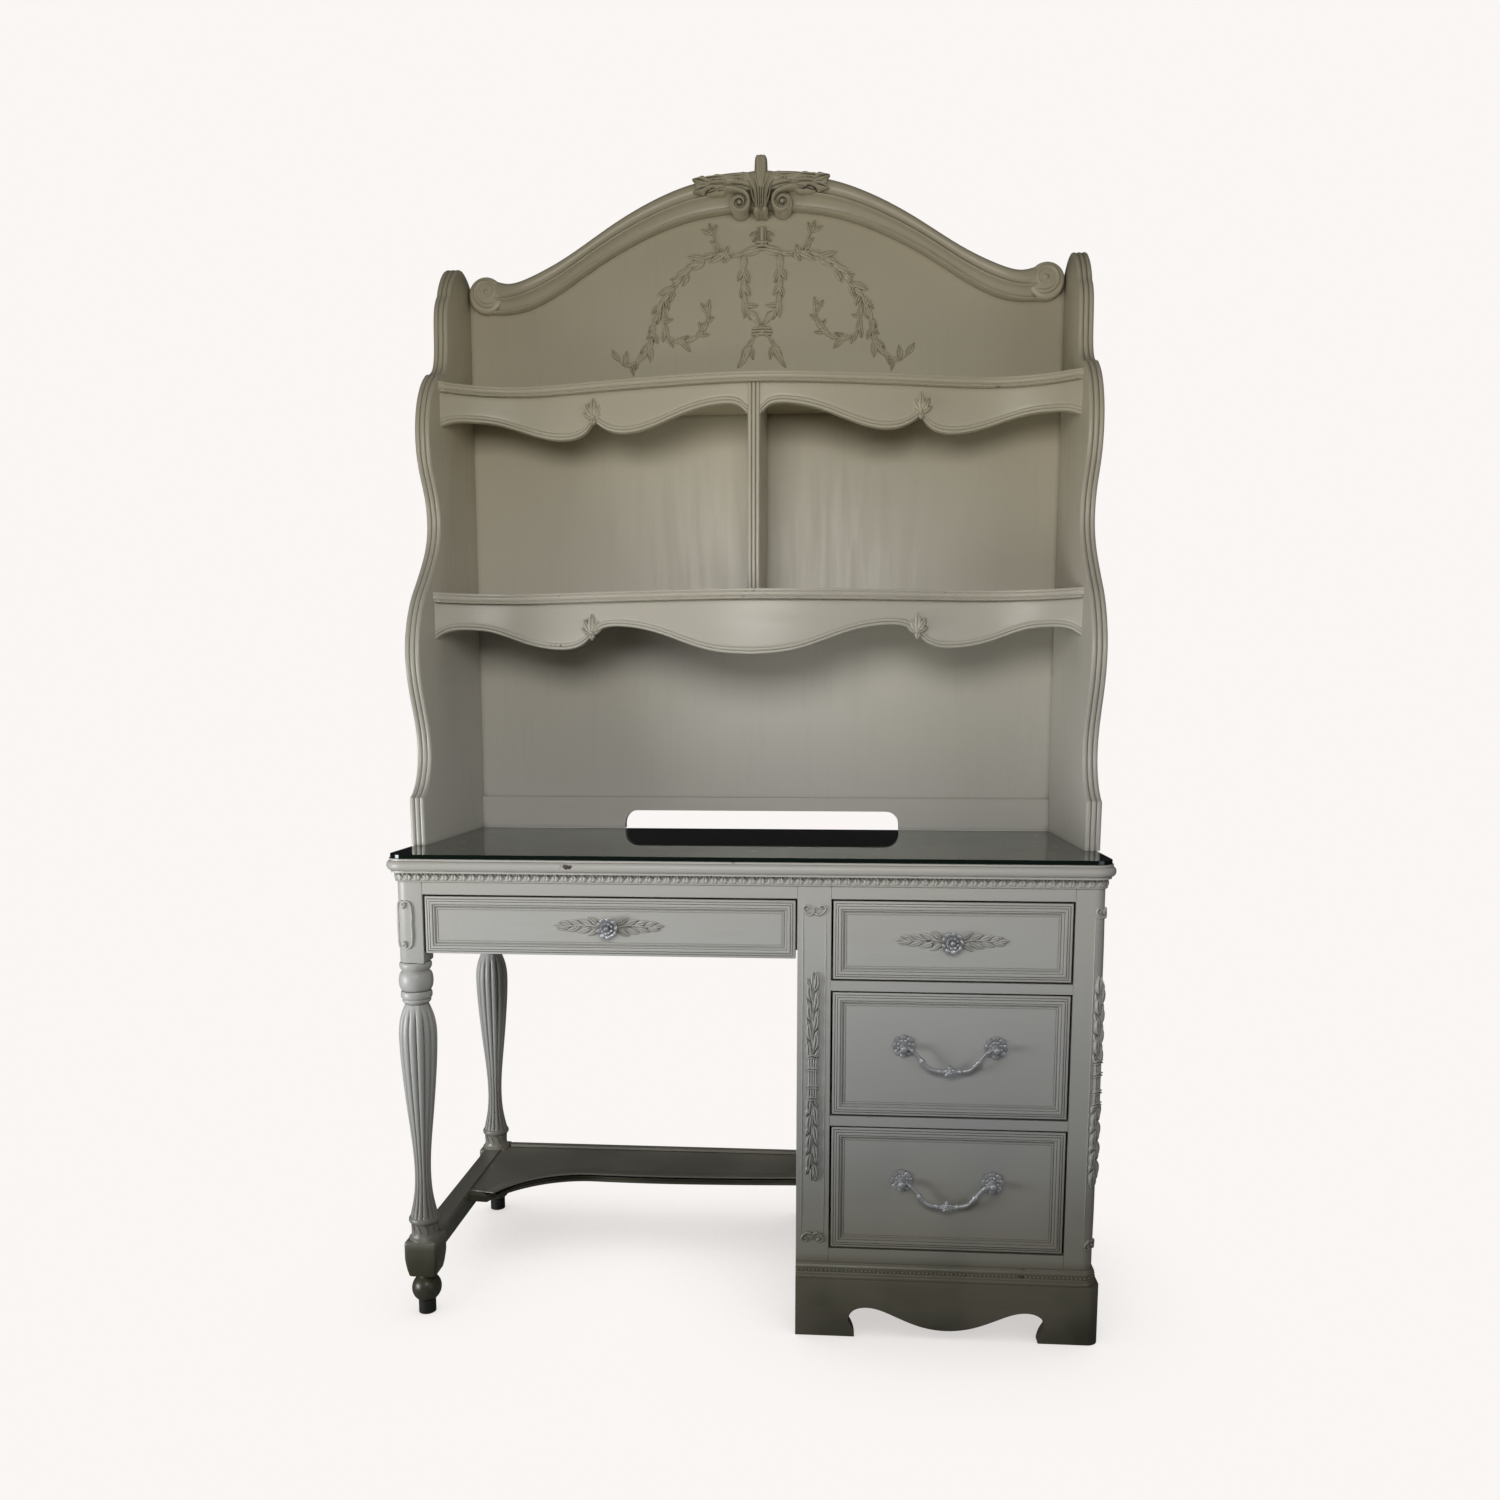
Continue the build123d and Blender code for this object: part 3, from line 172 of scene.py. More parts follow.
# ---------------------------------------------------------------- mesh building
class Build:
    """Vertices and faces of one piece, gathered from its parts."""

    def __init__(self):
        self.verts = []
        self.faces = []

    def add(self, verts, faces):
        base = len(self.verts)
        self.verts.extend(np.asarray(verts, float).reshape(-1, 3).tolist())
        self.faces.extend([tuple(base + i for i in f) for f in faces])

    def rings(self, rings, caps=True):
        """A skin through closed rings of equal size, with flat ends."""
        rings = np.asarray(rings, float)
        n, m = rings.shape[:2]
        faces = [(i * m + j, i * m + (j + 1) % m, (i + 1) * m + (j + 1) % m, (i + 1) * m + j)
                 for i in range(n - 1) for j in range(m)]
        if caps:
            faces += [tuple(range(m))[::-1], tuple((n - 1) * m + j for j in range(m))]
        self.add(rings, faces)

    def box(self, low, high, bevel=0.6 * MM):
        """A board with its arrises eased."""
        (x0, y0, z0), (x1, y1, z1) = low, high
        loop = rectangle(x0, x1, z0, z1)
        steps = [(bevel, 0), (0, bevel), (0, y1 - y0 - bevel), (bevel, y1 - y0)]
        self.framed(loop, steps, upright(y0))

    def framed(self, loop, profile, place):
        """A board whose closed edge follows loop. profile is (inset, depth) from front to back."""
        loop = np.asarray(loop, float)
        n = normals(loop, closed=True)
        area = np.sum(loop[:, 0] * np.roll(loop[:, 1], -1) - np.roll(loop[:, 0], -1) * loop[:, 1])
        n = n if area > 0 else -n
        self.rings([place(loop + n * inset, depth) for inset, depth in profile])

    def edged(self, front, rest, profile, place, ends=None):
        """A board moulded only along its open front edge. The other corners are in rest."""
        n = normals(front)
        centre = np.mean(np.vstack([front, rest]), axis=0)
        if np.sum(n * (centre - front)) < 0:
            n = -n
        if ends is not None:
            n[0] = n[-1] = ends
        rest = np.asarray(rest, float)
        self.rings([place(np.vstack([front + n * inset, rest]), depth) for inset, depth in profile])

    def lathe(self, profile, x, y, sides, shape=None):
        """A turned upright: profile is (radius, z) in millimetres. shape(angle, z) scales the radius."""
        angles = circle(sides)
        rings = [(r * (shape(angles, z) if shape else 1), z * MM) for r, z in profile]
        self.rings([np.c_[x + r * np.cos(angles) * MM, y + r * np.sin(angles) * MM, np.full(sides, z)]
                    for r, z in rings])

    def rod(self, path, radii, sides):
        """A round rod along a 3-D path, with a radius for each point."""
        t = np.gradient(path, axis=0)
        t /= np.linalg.norm(t, axis=1)[:, None]
        side = np.cross(t, np.array([0, 1, 0.0]))
        side /= np.maximum(np.linalg.norm(side, axis=1), 1e-9)[:, None]
        other = np.cross(side, t)
        angle = circle(sides)
        self.rings([p + r * (np.outer(np.cos(angle), s) + np.outer(np.sin(angle), o))
                    for p, s, o, r in zip(path, side, other, radii)])

    def piece(self, name, body, finish, node, sharp=35):
        """The finished object, which rides on a body and stands for a CAD node."""
        mesh = bpy.data.meshes.new(name)
        mesh.from_pydata(self.verts, [], self.faces)
        work = bmesh.new()
        work.from_mesh(mesh)
        bmesh.ops.remove_doubles(work, verts=work.verts, dist=1e-6)
        bmesh.ops.dissolve_degenerate(work, edges=work.edges, dist=1e-7)
        bmesh.ops.recalc_face_normals(work, faces=work.faces)
        work.to_mesh(mesh)
        work.free()
        mesh.shade_smooth()
        mesh.set_sharp_from_angle(angle=math.radians(sharp))
        obj = bpy.data.objects.new(name, mesh)
        bpy.context.scene.collection.objects.link(obj)
        slot, material = finish
        mesh.materials.append(material)
        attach(obj, body)
        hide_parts(node)


# ---------------------------------------------------------------- carving, in millimetres
SUNK = -1                             # the underside of a carving goes this far into its face


def leaf(build, place, x, z, angle, length, width, height, bend=0, lobes=0, size=(11, 7)):
    """A carved leaf lying on a face: pointed, domed, with a midrib groove and optional lobes."""
    nu, nv = size
    u = np.linspace(0, 1, nu)
    heading = math.radians(angle) + math.radians(bend) * u
    step = length / (nu - 1)
    cx = x + np.r_[0, np.cumsum(np.cos(heading[:-1]) * step)]
    cz = z + np.r_[0, np.cumsum(np.sin(heading[:-1]) * step)]
    half = width / 2 * np.sin(math.pi * np.clip(u, 0.02, 0.985) ** 0.72) ** 0.75
    if lobes:
        half *= 0.86 + 0.14 * np.cos(2 * math.pi * lobes * u)
    sections = []
    for i in range(nu):
        v = np.linspace(-1, 1, nv)
        dome = np.sqrt(np.maximum(0, 1 - v * v))
        rib = 0.45 * np.exp(-(v / 0.22) ** 2)
        rise = height * (0.3 + 0.7 * math.sin(math.pi * min(1, 0.12 + u[i] * 0.8)))
        h = np.r_[rise * np.maximum(0, dome - rib * (0.3 + 0.7 * dome)), SUNK, SUNK]
        v = np.r_[v, 1, -1] * half[i]
        side = np.array([-math.sin(heading[i]), math.cos(heading[i])])
        sections.append(place(cx[i] + side[0] * v, cz[i] + side[1] * v, h))
    build.rings(sections)


def stem(build, place, points, width, height, taper=(1, 1), count=24, sides=7):
    """A rounded stem that follows a curve on a face, tapering between its ends."""
    p = spline(points, count)
    n = normals(p)
    u = np.linspace(0, 1, count)
    grow = taper[0] + (taper[1] - taper[0]) * u
    grow = grow * np.minimum(1, 0.45 + 8 * np.minimum(u, 1 - u))
    arc = np.linspace(0, math.pi, sides)
    sections = []
    for q, side, g in zip(p, n, grow):
        v = np.r_[np.cos(arc), -1, 1] * width / 2 * g
        h = np.r_[np.sin(arc) * height * g, SUNK, SUNK]
        sections.append(place(q[0] + side[0] * v, q[1] + side[1] * v, h))
    build.rings(sections)


def knob_of(build, place, x, z, radius, height, sides=12):
    """A small round button on a face."""
    a = circle(sides)
    levels = [(math.cos(t * 0.97), height * math.sin(t)) for t in np.linspace(0, math.pi / 2, 5)]
    build.rings([place(x + radius * r * np.cos(a), z + radius * r * np.sin(a), np.full(sides, h))
                 for r, h in [(1, SUNK), *levels]])


def spiral(x, z, r0, r1, start, turns, count=30):
    """Points that curl from radius r0 at angle start to r1, anticlockwise for positive turns."""
    t = np.linspace(0, 1, count)
    r = r0 + (r1 - r0) * t ** 0.85
    a = math.radians(start) + t * turns * 2 * math.pi
    return np.c_[x + r * np.cos(a), z + r * np.sin(a)]


def column(build, place, x, z, radius, top, sides=30):
    """A round boss from a face up to a height, with a softened rim."""
    a = circle(sides)
    build.rings([place(x + radius * r * np.cos(a), z + radius * r * np.sin(a), np.full(sides, h))
                 for r, h in ((1, 0), (1, top - 2), (0.93, top - 0.6), (0.8, top))])


# ---------------------------------------------------------------- node materials
class Paint:
    """A small helper that wires shader nodes."""

    def __init__(self, name):
        self.material = bpy.data.materials.new(name)
        self.material.use_nodes = True
        self.tree = self.material.node_tree
        self.shader = self.tree.nodes["Principled BSDF"]
        coords = self.tree.nodes.new("ShaderNodeTexCoord")
        self.place = coords.outputs["Object"]

    def node(self, kind, inputs=(), **settings):
        made = self.tree.nodes.new("ShaderNode" + kind)
        for key, value in settings.items():
            setattr(made, key, value)
        for key, value in dict(inputs).items():
            self.feed(made.inputs[key], value)
        return made

    def feed(self, socket, value):
        if isinstance(value, bpy.types.NodeSocket):
            self.tree.links.new(value, socket)
        else:
            socket.default_value = value

    def stretch(self, x, y, z):
        return self.node("Mapping", {"Vector": self.place, "Scale": (x, y, z)}).outputs[0]

    def noise(self, scale, detail=3.0, rough=0.55, vector=None):
        inputs = {"Vector": vector or self.place, "Scale": scale, "Detail": detail, "Roughness": rough}
        return self.node("TexNoise", inputs).outputs["Fac"]

    def ramp(self, value, low, high, out_low=0.0, out_high=1.0):
        inputs = {"Value": value, "From Min": low, "From Max": high, "To Min": out_low, "To Max": out_high}
        return self.node("MapRange", inputs, interpolation_type="SMOOTHSTEP").outputs["Result"]

    def share(self, value, whole):
        return self.node("MapRange", {"Value": value, "From Min": 0.0, "From Max": whole}).outputs["Result"]

    def sums(self, operation, a, b):
        return self.node("Math", {0: a, 1: b}, operation=operation).outputs[0]

    def times(self, a, b):
        return self.sums("MULTIPLY", a, b)

    def plus(self, a, b):
        return self.sums("ADD", a, b)

    def blend(self, factor, a, b, kind="MIX"):
        made = self.tree.nodes.new("ShaderNodeMix")
        made.data_type, made.blend_type = "RGBA", kind
        for index, value in ((0, factor), (6, a), (7, b)):
            if isinstance(value, tuple):
                value = (*value, 1.0)
            self.feed(made.inputs[index], value)
        return made.outputs[2]

    def recess(self, reach, inside=False):
        """1 in corners and under overhangs, 0 in the open."""
        made = self.node("AmbientOcclusion", {"Distance": reach}, samples=5, inside=inside)
        return self.sums("SUBTRACT", 1.0, made.outputs["AO"])

    def arris(self, reach):
        """1 on thin or convex edges, 0 inside broad faces."""
        return self.recess(reach, inside=True)

    def spot(self, centre, radius, ragged):
        """1 inside a ragged patch round a point, longer along X than it is high."""
        squeeze = (0.3, 1.0, 1.0)
        place = self.node("VectorMath", {0: self.place, 1: squeeze}, operation="MULTIPLY").outputs[0]
        target = tuple(c * k for c, k in zip(centre, squeeze))
        away = self.node("VectorMath", {0: place, 1: target}, operation="DISTANCE").outputs["Value"]
        away = self.plus(away, self.times(ragged, radius * 2.6))
        return self.ramp(away, radius * 2.0, radius * 2.1, 1.0, 0.0)

    def bump(self, height, distance, strength=1.0):
        made = self.node("Bump", {"Height": height, "Distance": distance, "Strength": strength})
        self.tree.links.new(made.outputs[0], self.shader.inputs["Normal"])

    def set(self, **inputs):
        for key, value in inputs.items():
            if isinstance(value, tuple):
                value = (*value, 1.0)
            self.feed(self.shader.inputs[key.replace("_", " ")], value)


# Paint tone by height, with painted shade: dark and olive towards the floor, neutral on the desk, yellower
# towards the crown.
TONE_SPAN = 2.0
TONES_AND_SHADE_BY_HEIGHT = [(0.00, (0.027, 0.025, 0.014)), (0.09, (0.048, 0.046, 0.026)), (0.12, (0.080, 0.077, 0.052)),
               (0.13, (0.190, 0.185, 0.160)), (0.17, (0.215, 0.209, 0.184)), (0.34, (0.380, 0.384, 0.378)),
               (0.62, (0.545, 0.543, 0.522)), (0.78, (0.570, 0.555, 0.510)), (1.15, (0.565, 0.530, 0.445)),
               (1.45, (0.560, 0.508, 0.378)), (1.96, (0.560, 0.495, 0.335))]
YELLOWED, STREAK, SPECK = (0.60, 0.56, 0.44), (0.26, 0.235, 0.18), (0.20, 0.18, 0.14)
# The first two colours below paint glaze together with shade, in corners and in creases. The third is bare
# wood in chips.
GLAZE_AND_SHADE, CREASE_GLAZE_AND_SHADE, BARE_WOOD = (0.085, 0.070, 0.045), (0.060, 0.050, 0.034), (0.060, 0.042, 0.028)
# Chips: on the lower apron, on the desk's front edge and on the plinth, with the radius of each.
CHIPS = [((-0.345, 0.003, 1.100), 6 * MM), ((-0.27, -0.250, 0.752), 5 * MM), ((0.262, -0.205, 0.060), 5 * MM)]


def painted(name, grain, depth=1.0, highlight=0.35):
    """Aged cream-grey paint, brushed. depth scales the glaze and painted shade in corners and creases,
    highlight the painted highlight and rubbed wear on arrises.
    """
    p = Paint(name)
    height = p.node("SeparateXYZ", {"Vector": p.place}).outputs[2]
    broad = p.noise(3.1, 3)
    streaks = p.noise(11, 4, 0.55, p.stretch(*grain))
    fine = p.noise(210, 3, 0.6)
    # Painted shade by height comes in here: the colour grows darker towards the floor.
    tone_and_shade = p.node("ValToRGB", {0: p.share(height, TONE_SPAN)})
    band = tone_and_shade.color_ramp
    while len(band.elements) < len(TONES_AND_SHADE_BY_HEIGHT):
        band.elements.new(0.5)
    for element, (z, colour) in zip(band.elements, TONES_AND_SHADE_BY_HEIGHT):
        element.position, element.color = z / TONE_SPAN, (*colour, 1.0)
    base = p.blend(p.ramp(broad, 0.38, 0.68, 0.0, 0.16), tone_and_shade.outputs[0], YELLOWED)
    base = p.blend(p.ramp(streaks, 0.48, 0.75, 0.0, 0.05), base, STREAK)
    base = p.blend(p.ramp(fine, 0.55, 0.8, 0.0, 0.08), base, SPECK)
    # Glaze and painted shade: darker in corners and under overhangs, and a little rougher there.
    corner = p.times(p.ramp(p.recess(13 * MM), 0.22, 0.80), p.ramp(broad, 0.2, 0.6, 0.65, 1.0))
    glazed_and_shaded = p.blend(p.times(corner, 0.72 * depth), base, GLAZE_AND_SHADE)
    # Glaze and painted shade: dark lines in creases and grooves.
    crease_glaze_and_shade = p.ramp(p.recess(3.2 * MM), 0.30, 0.78)
    crease_glazed_and_shaded = p.blend(p.times(crease_glaze_and_shade, 0.50 * depth), glazed_and_shaded, CREASE_GLAZE_AND_SHADE)
    # Painted highlight with rubbed wear: the colour is lighter on convex arrises.
    edge = p.ramp(p.arris(2.2 * MM), 0.16, 0.5)
    lighter = p.blend(1.0, base, (1.22, 1.21, 1.19), "MULTIPLY")
    rubbed_and_highlit = p.blend(p.times(p.times(edge, p.ramp(fine, 0.25, 0.6)), highlight), crease_glazed_and_shaded,
                     lighter)
    worn = p.times(p.ramp(p.arris(3 * MM), 0.3, 0.5), p.ramp(p.noise(23, 3, 0.6), 0.69, 0.72))
    for centre, radius in CHIPS:
        worn = p.sums("MAXIMUM", worn, p.spot(centre, radius, p.noise(150, 3, 0.65)))
    chipped = p.blend(worn, rubbed_and_highlit, BARE_WOOD)
    rough = p.plus(p.ramp(streaks, 0.3, 0.7, 0.33, 0.43), p.times(corner, 0.2))
    p.set(Base_Color=chipped, Roughness=rough, Specular_IOR_Level=0.45, Coat_Weight=0.08, Coat_Roughness=0.3)
    relief = p.plus(p.times(streaks, 0.9), p.times(fine, 0.15))
    p.bump(p.sums("SUBTRACT", relief, p.times(worn, 1.2)), 0.4 * MM, 0.22)
    return p.material


def wood(name, grain):
    """Sealed pale drawer wood with long grain."""
    p = Paint(name)
    rings = p.node("TexWave", {"Vector": p.stretch(*grain), "Scale": 9.0, "Distortion": 5.0, "Detail": 3.0,
                               "Detail Scale": 1.5}).outputs["Fac"]
    pores = p.noise(160, 4, 0.7, p.stretch(*grain))
    tone = p.blend(p.ramp(rings, 0.2, 0.8, 0.0, 0.8), (0.42, 0.29, 0.17), (0.30, 0.19, 0.10))
    tone = p.blend(p.ramp(pores, 0.55, 0.75, 0.0, 0.6), tone, (0.17, 0.10, 0.05))
    # Painted shade: the wood is darker in corners and under overhangs.
    tone = p.blend(p.ramp(p.recess(20 * MM), 0.3, 0.9, 0.0, 0.5), tone, (0.10, 0.065, 0.04))
    p.set(Base_Color=tone, Roughness=p.ramp(pores, 0.3, 0.7, 0.42, 0.6), Specular_IOR_Level=0.35)
    p.bump(p.plus(pores, p.times(rings, 0.3)), 0.4 * MM, 0.3)
    return p.material


def metal(name, bright, dark, rough, grime, metallic):
    """Cast metal with darker recesses and a fine mottled surface."""
    p = Paint(name)
    mottle = p.noise(420, 4, 0.65)
    cloud = p.noise(70, 3)
    hollow = p.ramp(p.recess(5 * MM), 0.2, 0.85, 0.0, grime)
    tone = p.blend(p.ramp(cloud, 0.35, 0.65, 0.0, 0.45), bright, dark)
    tone = p.blend(hollow, tone, (0.022, 0.020, 0.017))
    p.set(Base_Color=tone, Metallic=metallic, Roughness=p.ramp(mottle, 0.3, 0.7, rough - 0.07, rough + 0.1))
    p.bump(mottle, 0.15 * MM, 0.35)
    return p.material


def sheet_glass():
    """Clear float glass with dark green ground edges, darkened with painted shade. The flat faces stay
    see-through.
    """
    p = Paint("sheet_glass")
    facing = p.node("SeparateXYZ", {"Vector": p.node("NewGeometry").outputs["Normal"]}).outputs[2]
    flat_face = p.ramp(p.sums("ABSOLUTE", facing, 0.0), 0.80, 0.95)
    smears = p.noise(7, 4, 0.6)
    # The edge faces get a near-black green: the glass's own green, darkened with painted shade.
    p.set(Base_Color=p.blend(flat_face, (0.006, 0.012, 0.009), (0.30, 0.34, 0.31)),
          Roughness=p.ramp(smears, 0.35, 0.75, 0.03, 0.10), IOR=1.52)
    clear = p.node("BsdfTransparent", {"Color": (0.80, 0.86, 0.82, 1.0)})
    glint = p.node("Fresnel", {"IOR": 1.75}).outputs[0]
    shine = p.blend(p.ramp(smears, 0.45, 0.8), (0.92, 0.94, 0.92), (0.84, 0.86, 0.84))
    gloss = p.node("BsdfGlossy", {"Color": shine, "Roughness": 0.0})
    face = p.node("MixShader", {0: glint, 1: clear.outputs[0], 2: gloss.outputs[0]})
    mixed = p.node("MixShader", {0: flat_face, 1: p.shader.outputs[0], 2: face.outputs[0]})
    p.tree.links.new(mixed.outputs[0], p.tree.nodes["Material Output"].inputs["Surface"])
    return p.material


def plastic(name, colour, rough, transmission=0.0):
    p = Paint(name)
    speck = p.noise(600, 3)
    tone = p.blend(p.ramp(speck, 0.3, 0.7), colour, tuple(c * 0.72 for c in colour))
    p.set(Base_Color=tone, Roughness=p.ramp(speck, 0.3, 0.7, rough - 0.05, rough + 0.1),
          Transmission_Weight=transmission)
    p.bump(speck, 0.1 * MM, 0.3)
    return p.material


ACROSS, INWARD, UPWARD = (0.6, 8.0, 8.0), (8.0, 0.6, 8.0), (8.0, 8.0, 0.6)    # brush strokes along X, Y and Z
ALL_WAYS = (6.0, 6.0, 6.0)
paint_x = ("painted_wood", painted("paint_across", ACROSS))
paint_z = ("painted_wood", painted("paint_upright", UPWARD))
paint_y = ("painted_wood", painted("paint_inward", INWARD))
carved = ("carved_trim", painted("paint_carved", ALL_WAYS, 1.15, 0.60))
course_paint = ("carved_trim", painted("paint_courses", ALL_WAYS, 0.8, 0.45))
front_paint = ("painted_wood", painted("paint_fronts", ACROSS, 1.35, 0.45))
top_paint = ("painted_wood", painted("paint_desk_top", ACROSS, 0.2, 0.3))
reeded_paint = ("painted_wood", painted("paint_reeded", UPWARD, 0.7, 0.25))
drawer_wood = ("drawer_wood", wood("drawer_wood", (3.0, 0.5, 3.0)))
pewter = ("pull_metal", metal("antique_pewter", (0.50, 0.51, 0.53), (0.33, 0.335, 0.34), 0.42, 0.75, 0.50))
zinc = ("zinc_steel", metal("zinc_steel", (0.55, 0.56, 0.57), (0.42, 0.43, 0.45), 0.34, 0.5, 0.9))
glass = ("glass", sheet_glass())
clear = ("clear_bumper", plastic("clear_bumper", (0.75, 0.76, 0.74), 0.25, 0.6))
black = ("black_glide", plastic("black_glide", (0.018, 0.017, 0.016), 0.5))


def dress(finish, *names):
    """Give CAD nodes that stay visible their finish."""
    for name in names:
        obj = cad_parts[name]
        obj.data.materials.clear()
        obj.data.materials.append(finish[1])


dress(paint_z, "hutch_back_panel", "pedestal_left_side", "pedestal_right_side", "pedestal_back",
      "pedestal_corner_post")
dress(paint_x, "front_top_rail", "pedestal_rails", "pedestal_bottom", "back_apron",
      "base_plinth_front", "hutch_back_rail", "plinth_corner_blocks")
dress(top_paint, "desk_top")
dress(paint_y, "left_apron", "side_stretcher", "base_plinth_sides")
dress(drawer_wood, "hutch_dowels", "centre_drawer_box", "top_drawer_box", "middle_drawer_box",
      "bottom_drawer_box", "centre_drawer_runners", "pedestal_drawer_runners")
dress(zinc, "hutch_screws", "hutch_tie_plates")
dress(glass, "glass_top")
dress(clear, "glass_bumpers")
dress(black, "leg_glides")


# ---------------------------------------------------------------- hutch boards
def reeds(thickness, count, depth, steps=7):
    """Edge profile of a board with rounded reeds: (inset, distance through the board)."""
    pitch = thickness / count
    profile = []
    for k in range(count):
        for j in range(steps + (k == count - 1)):
            s = j / steps
            profile.append((depth * (1 - math.sqrt(max(0.0, 1 - (2 * s - 1) ** 2))), (k + s) * pitch))
    return profile


side_low, side_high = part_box("hutch_side_right")
side_loop = outline("hutch_side_right", 0, side_low.x)
back_top = side_loop[np.lexsort((-side_loop[:, 1], -side_loop[:, 0].round(5)))[0]]
foot = side_loop[np.lexsort((side_loop[:, 0], side_loop[:, 1].round(5)))[0]]


def resample(points, step, corner=24):
    """Even spacing along a polyline, keeping its sharp corners."""
    d = np.diff(points, axis=0)
    heading = np.unwrap(np.arctan2(d[:, 1], d[:, 0]))
    sharp = np.flatnonzero(np.abs(np.diff(heading)) > math.radians(corner)) + 1
    stops = [0, *sharp, len(points) - 1]
    return runs(*[points[a:b + 1] for a, b in zip(stops, stops[1:])], step=step)


edge = resample(front_run(side_loop, back_top, foot, 0), 6 * MM)
SIDE_REEDS = reeds(side_high.x - side_low.x, 3, 3.2 * MM)
for sign, name in ((1, "hutch_side_right"), (-1, "hutch_side_left")):
    low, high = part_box(name)
    inner = low.x if sign > 0 else high.x
    board = Build()
    board.edged(edge, [(side_high.y, side_low.z)], SIDE_REEDS,
                lambda p, t: np.c_[np.full(len(p), inner + sign * t), p[:, 0], p[:, 1]])
    board.piece(name + "_reeded", ROOT, reeded_paint, name)


def shelf_front(node):
    """The front edge of a shelf in plan, from left to right, as (x, y)."""
    loop = outline(node, 2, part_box(node)[1].z)
    ends = [loop[np.lexsort((loop[:, 1], s * loop[:, 0].round(5)))[0]] for s in (1, -1)]
    return resample(front_run(loop, *ends, 1), 8 * MM, 60)


SHELF_EDGE = [
    (0.8, 0), (0, 0.8), (0, 3.4), (1.5, 3.7), (1.9, 4.4), (0.8, 5.2), (0.2, 6.8), (0.3, 8.8), (1.1, 10.6),
    (2.4, 11.8), (3.6, 12.2), (3.8, 13.0), (2.9, 13.4), (2.4, 14.4), (2.6, 15.6), (3.6, 16.6), (5.0, 17)]
shelf_lines = {}
for name in ("hutch_upper_shelf", "hutch_lower_shelf"):
    low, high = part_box(name)
    front = shelf_front(name)
    shelf_lines[name] = front
    board = Build()
    board.edged(front, [(high.x, high.y), (low.x, high.y)], in_mm(SHELF_EDGE),
                lambda p, depth: np.c_[p, np.full(len(p), high.z - depth)], ends=(0, 1))
    board.piece(name + "_moulded", ROOT, paint_x, name)

# Scalloped lower edges of the aprons, right half, in millimetres.
UPPER_SCALLOP = [
    [(12, 1479), (22, 1490), (55, 1496), (120, 1484), (205, 1459), (245, 1462), (262, 1470), (278, 1482)],
    [(278, 1482), (290, 1466), (306, 1457), (335, 1454), (400, 1468), (465, 1484), (500, 1484)],
    [(500, 1484), (522, 1480), (537, 1472)]]
LOWER_SCALLOP = [
    [(0, 1082), (70, 1089), (150, 1116), (225, 1131), (258, 1127), (274, 1117)],
    [(274, 1117), (288, 1104), (306, 1096), (336, 1094), (400, 1106), (460, 1125), (500, 1127)],
    [(500, 1127), (522, 1122), (537, 1111)]]
APRON_SETBACK = 6 * MM
APRON_THICKNESS = 14 * MM
APRON_FACE = [
    (0, 2.2), (0.5, 0.9), (1.6, 0), (4.2, 0), (4.8, 0.6), (5.4, -0.6), (6.4, -1.6), (7.8, -1.9),
    (9.2, -1.6), (10.2, -0.6), (10.8, 0.5), (12.4, 0.1), (15, 0)]


def apron(build, edge, shelf, top_z, sign=1):
    """A thin board that follows the shelf's curve, its lower edge scalloped and beaded."""
    front = shelf_lines[shelf]
    sections = []
    for x, z in edge:
        y = float(np.interp(sign * x, front[:, 0], front[:, 1])) + APRON_SETBACK
        face = [(z + up * MM, y + out * MM) for up, out in APRON_FACE]
        face += [(z + (top_z - z) * k, y) for k in (0.5, 0.75, 1)]
        back = y + APRON_THICKNESS
        face += [(top_z, back), (z + 0.5 * MM, back), (z, back - MM)]
        sections.append([(sign * x, b, a) for a, b in face])
    build.rings(sections)


low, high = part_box("hutch_upper_aprons")
half = runs(*map(in_mm, UPPER_SCALLOP), step=5 * MM)
half[0, 0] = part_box("hutch_centre_divider")[1].x
aprons = Build()
for sign in (1, -1):
    apron(aprons, half, "hutch_upper_shelf", high.z, sign)
aprons.piece("hutch_upper_aprons_beaded", ROOT, paint_x, "hutch_upper_aprons", sharp=50)

low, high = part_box("hutch_lower_apron")
half = runs(*map(in_mm, LOWER_SCALLOP), step=5 * MM)
both = np.vstack([half[:0:-1] * (-1, 1), half])
aprons = Build()
apron(aprons, both, "hutch_lower_shelf", high.z)
aprons.piece("hutch_lower_apron_beaded", ROOT, paint_x, "hutch_lower_apron", sharp=50)

# The divider between the shelves has a reeded front edge.
low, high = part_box("hutch_centre_divider")
board = Build()
board.edged(np.array([(low.y, low.z), (low.y, high.z)]), [(high.y, high.z), (high.y, low.z)],
            reeds(high.x - low.x, 3, 2.6 * MM),
            lambda p, t: np.c_[np.full(len(p), low.x + t), p[:, 0], p[:, 1]], ends=(1, 0))
board.piece("hutch_divider_reeded", ROOT, paint_z, "hutch_centre_divider")

# ---------------------------------------------------------------- crown and its volutes
CROWN_TOP = [
    (0, 1931), (70, 1928), (122, 1919), (188, 1896), (272, 1852), (356, 1800), (411, 1773), (462, 1761),
    (490, 1769)]
CROWN_BOTTOM = [
    (0, 1876), (57, 1873), (131, 1862), (216, 1832), (303, 1786), (390, 1733), (440, 1714), (486, 1711),
    (500, 1712)]
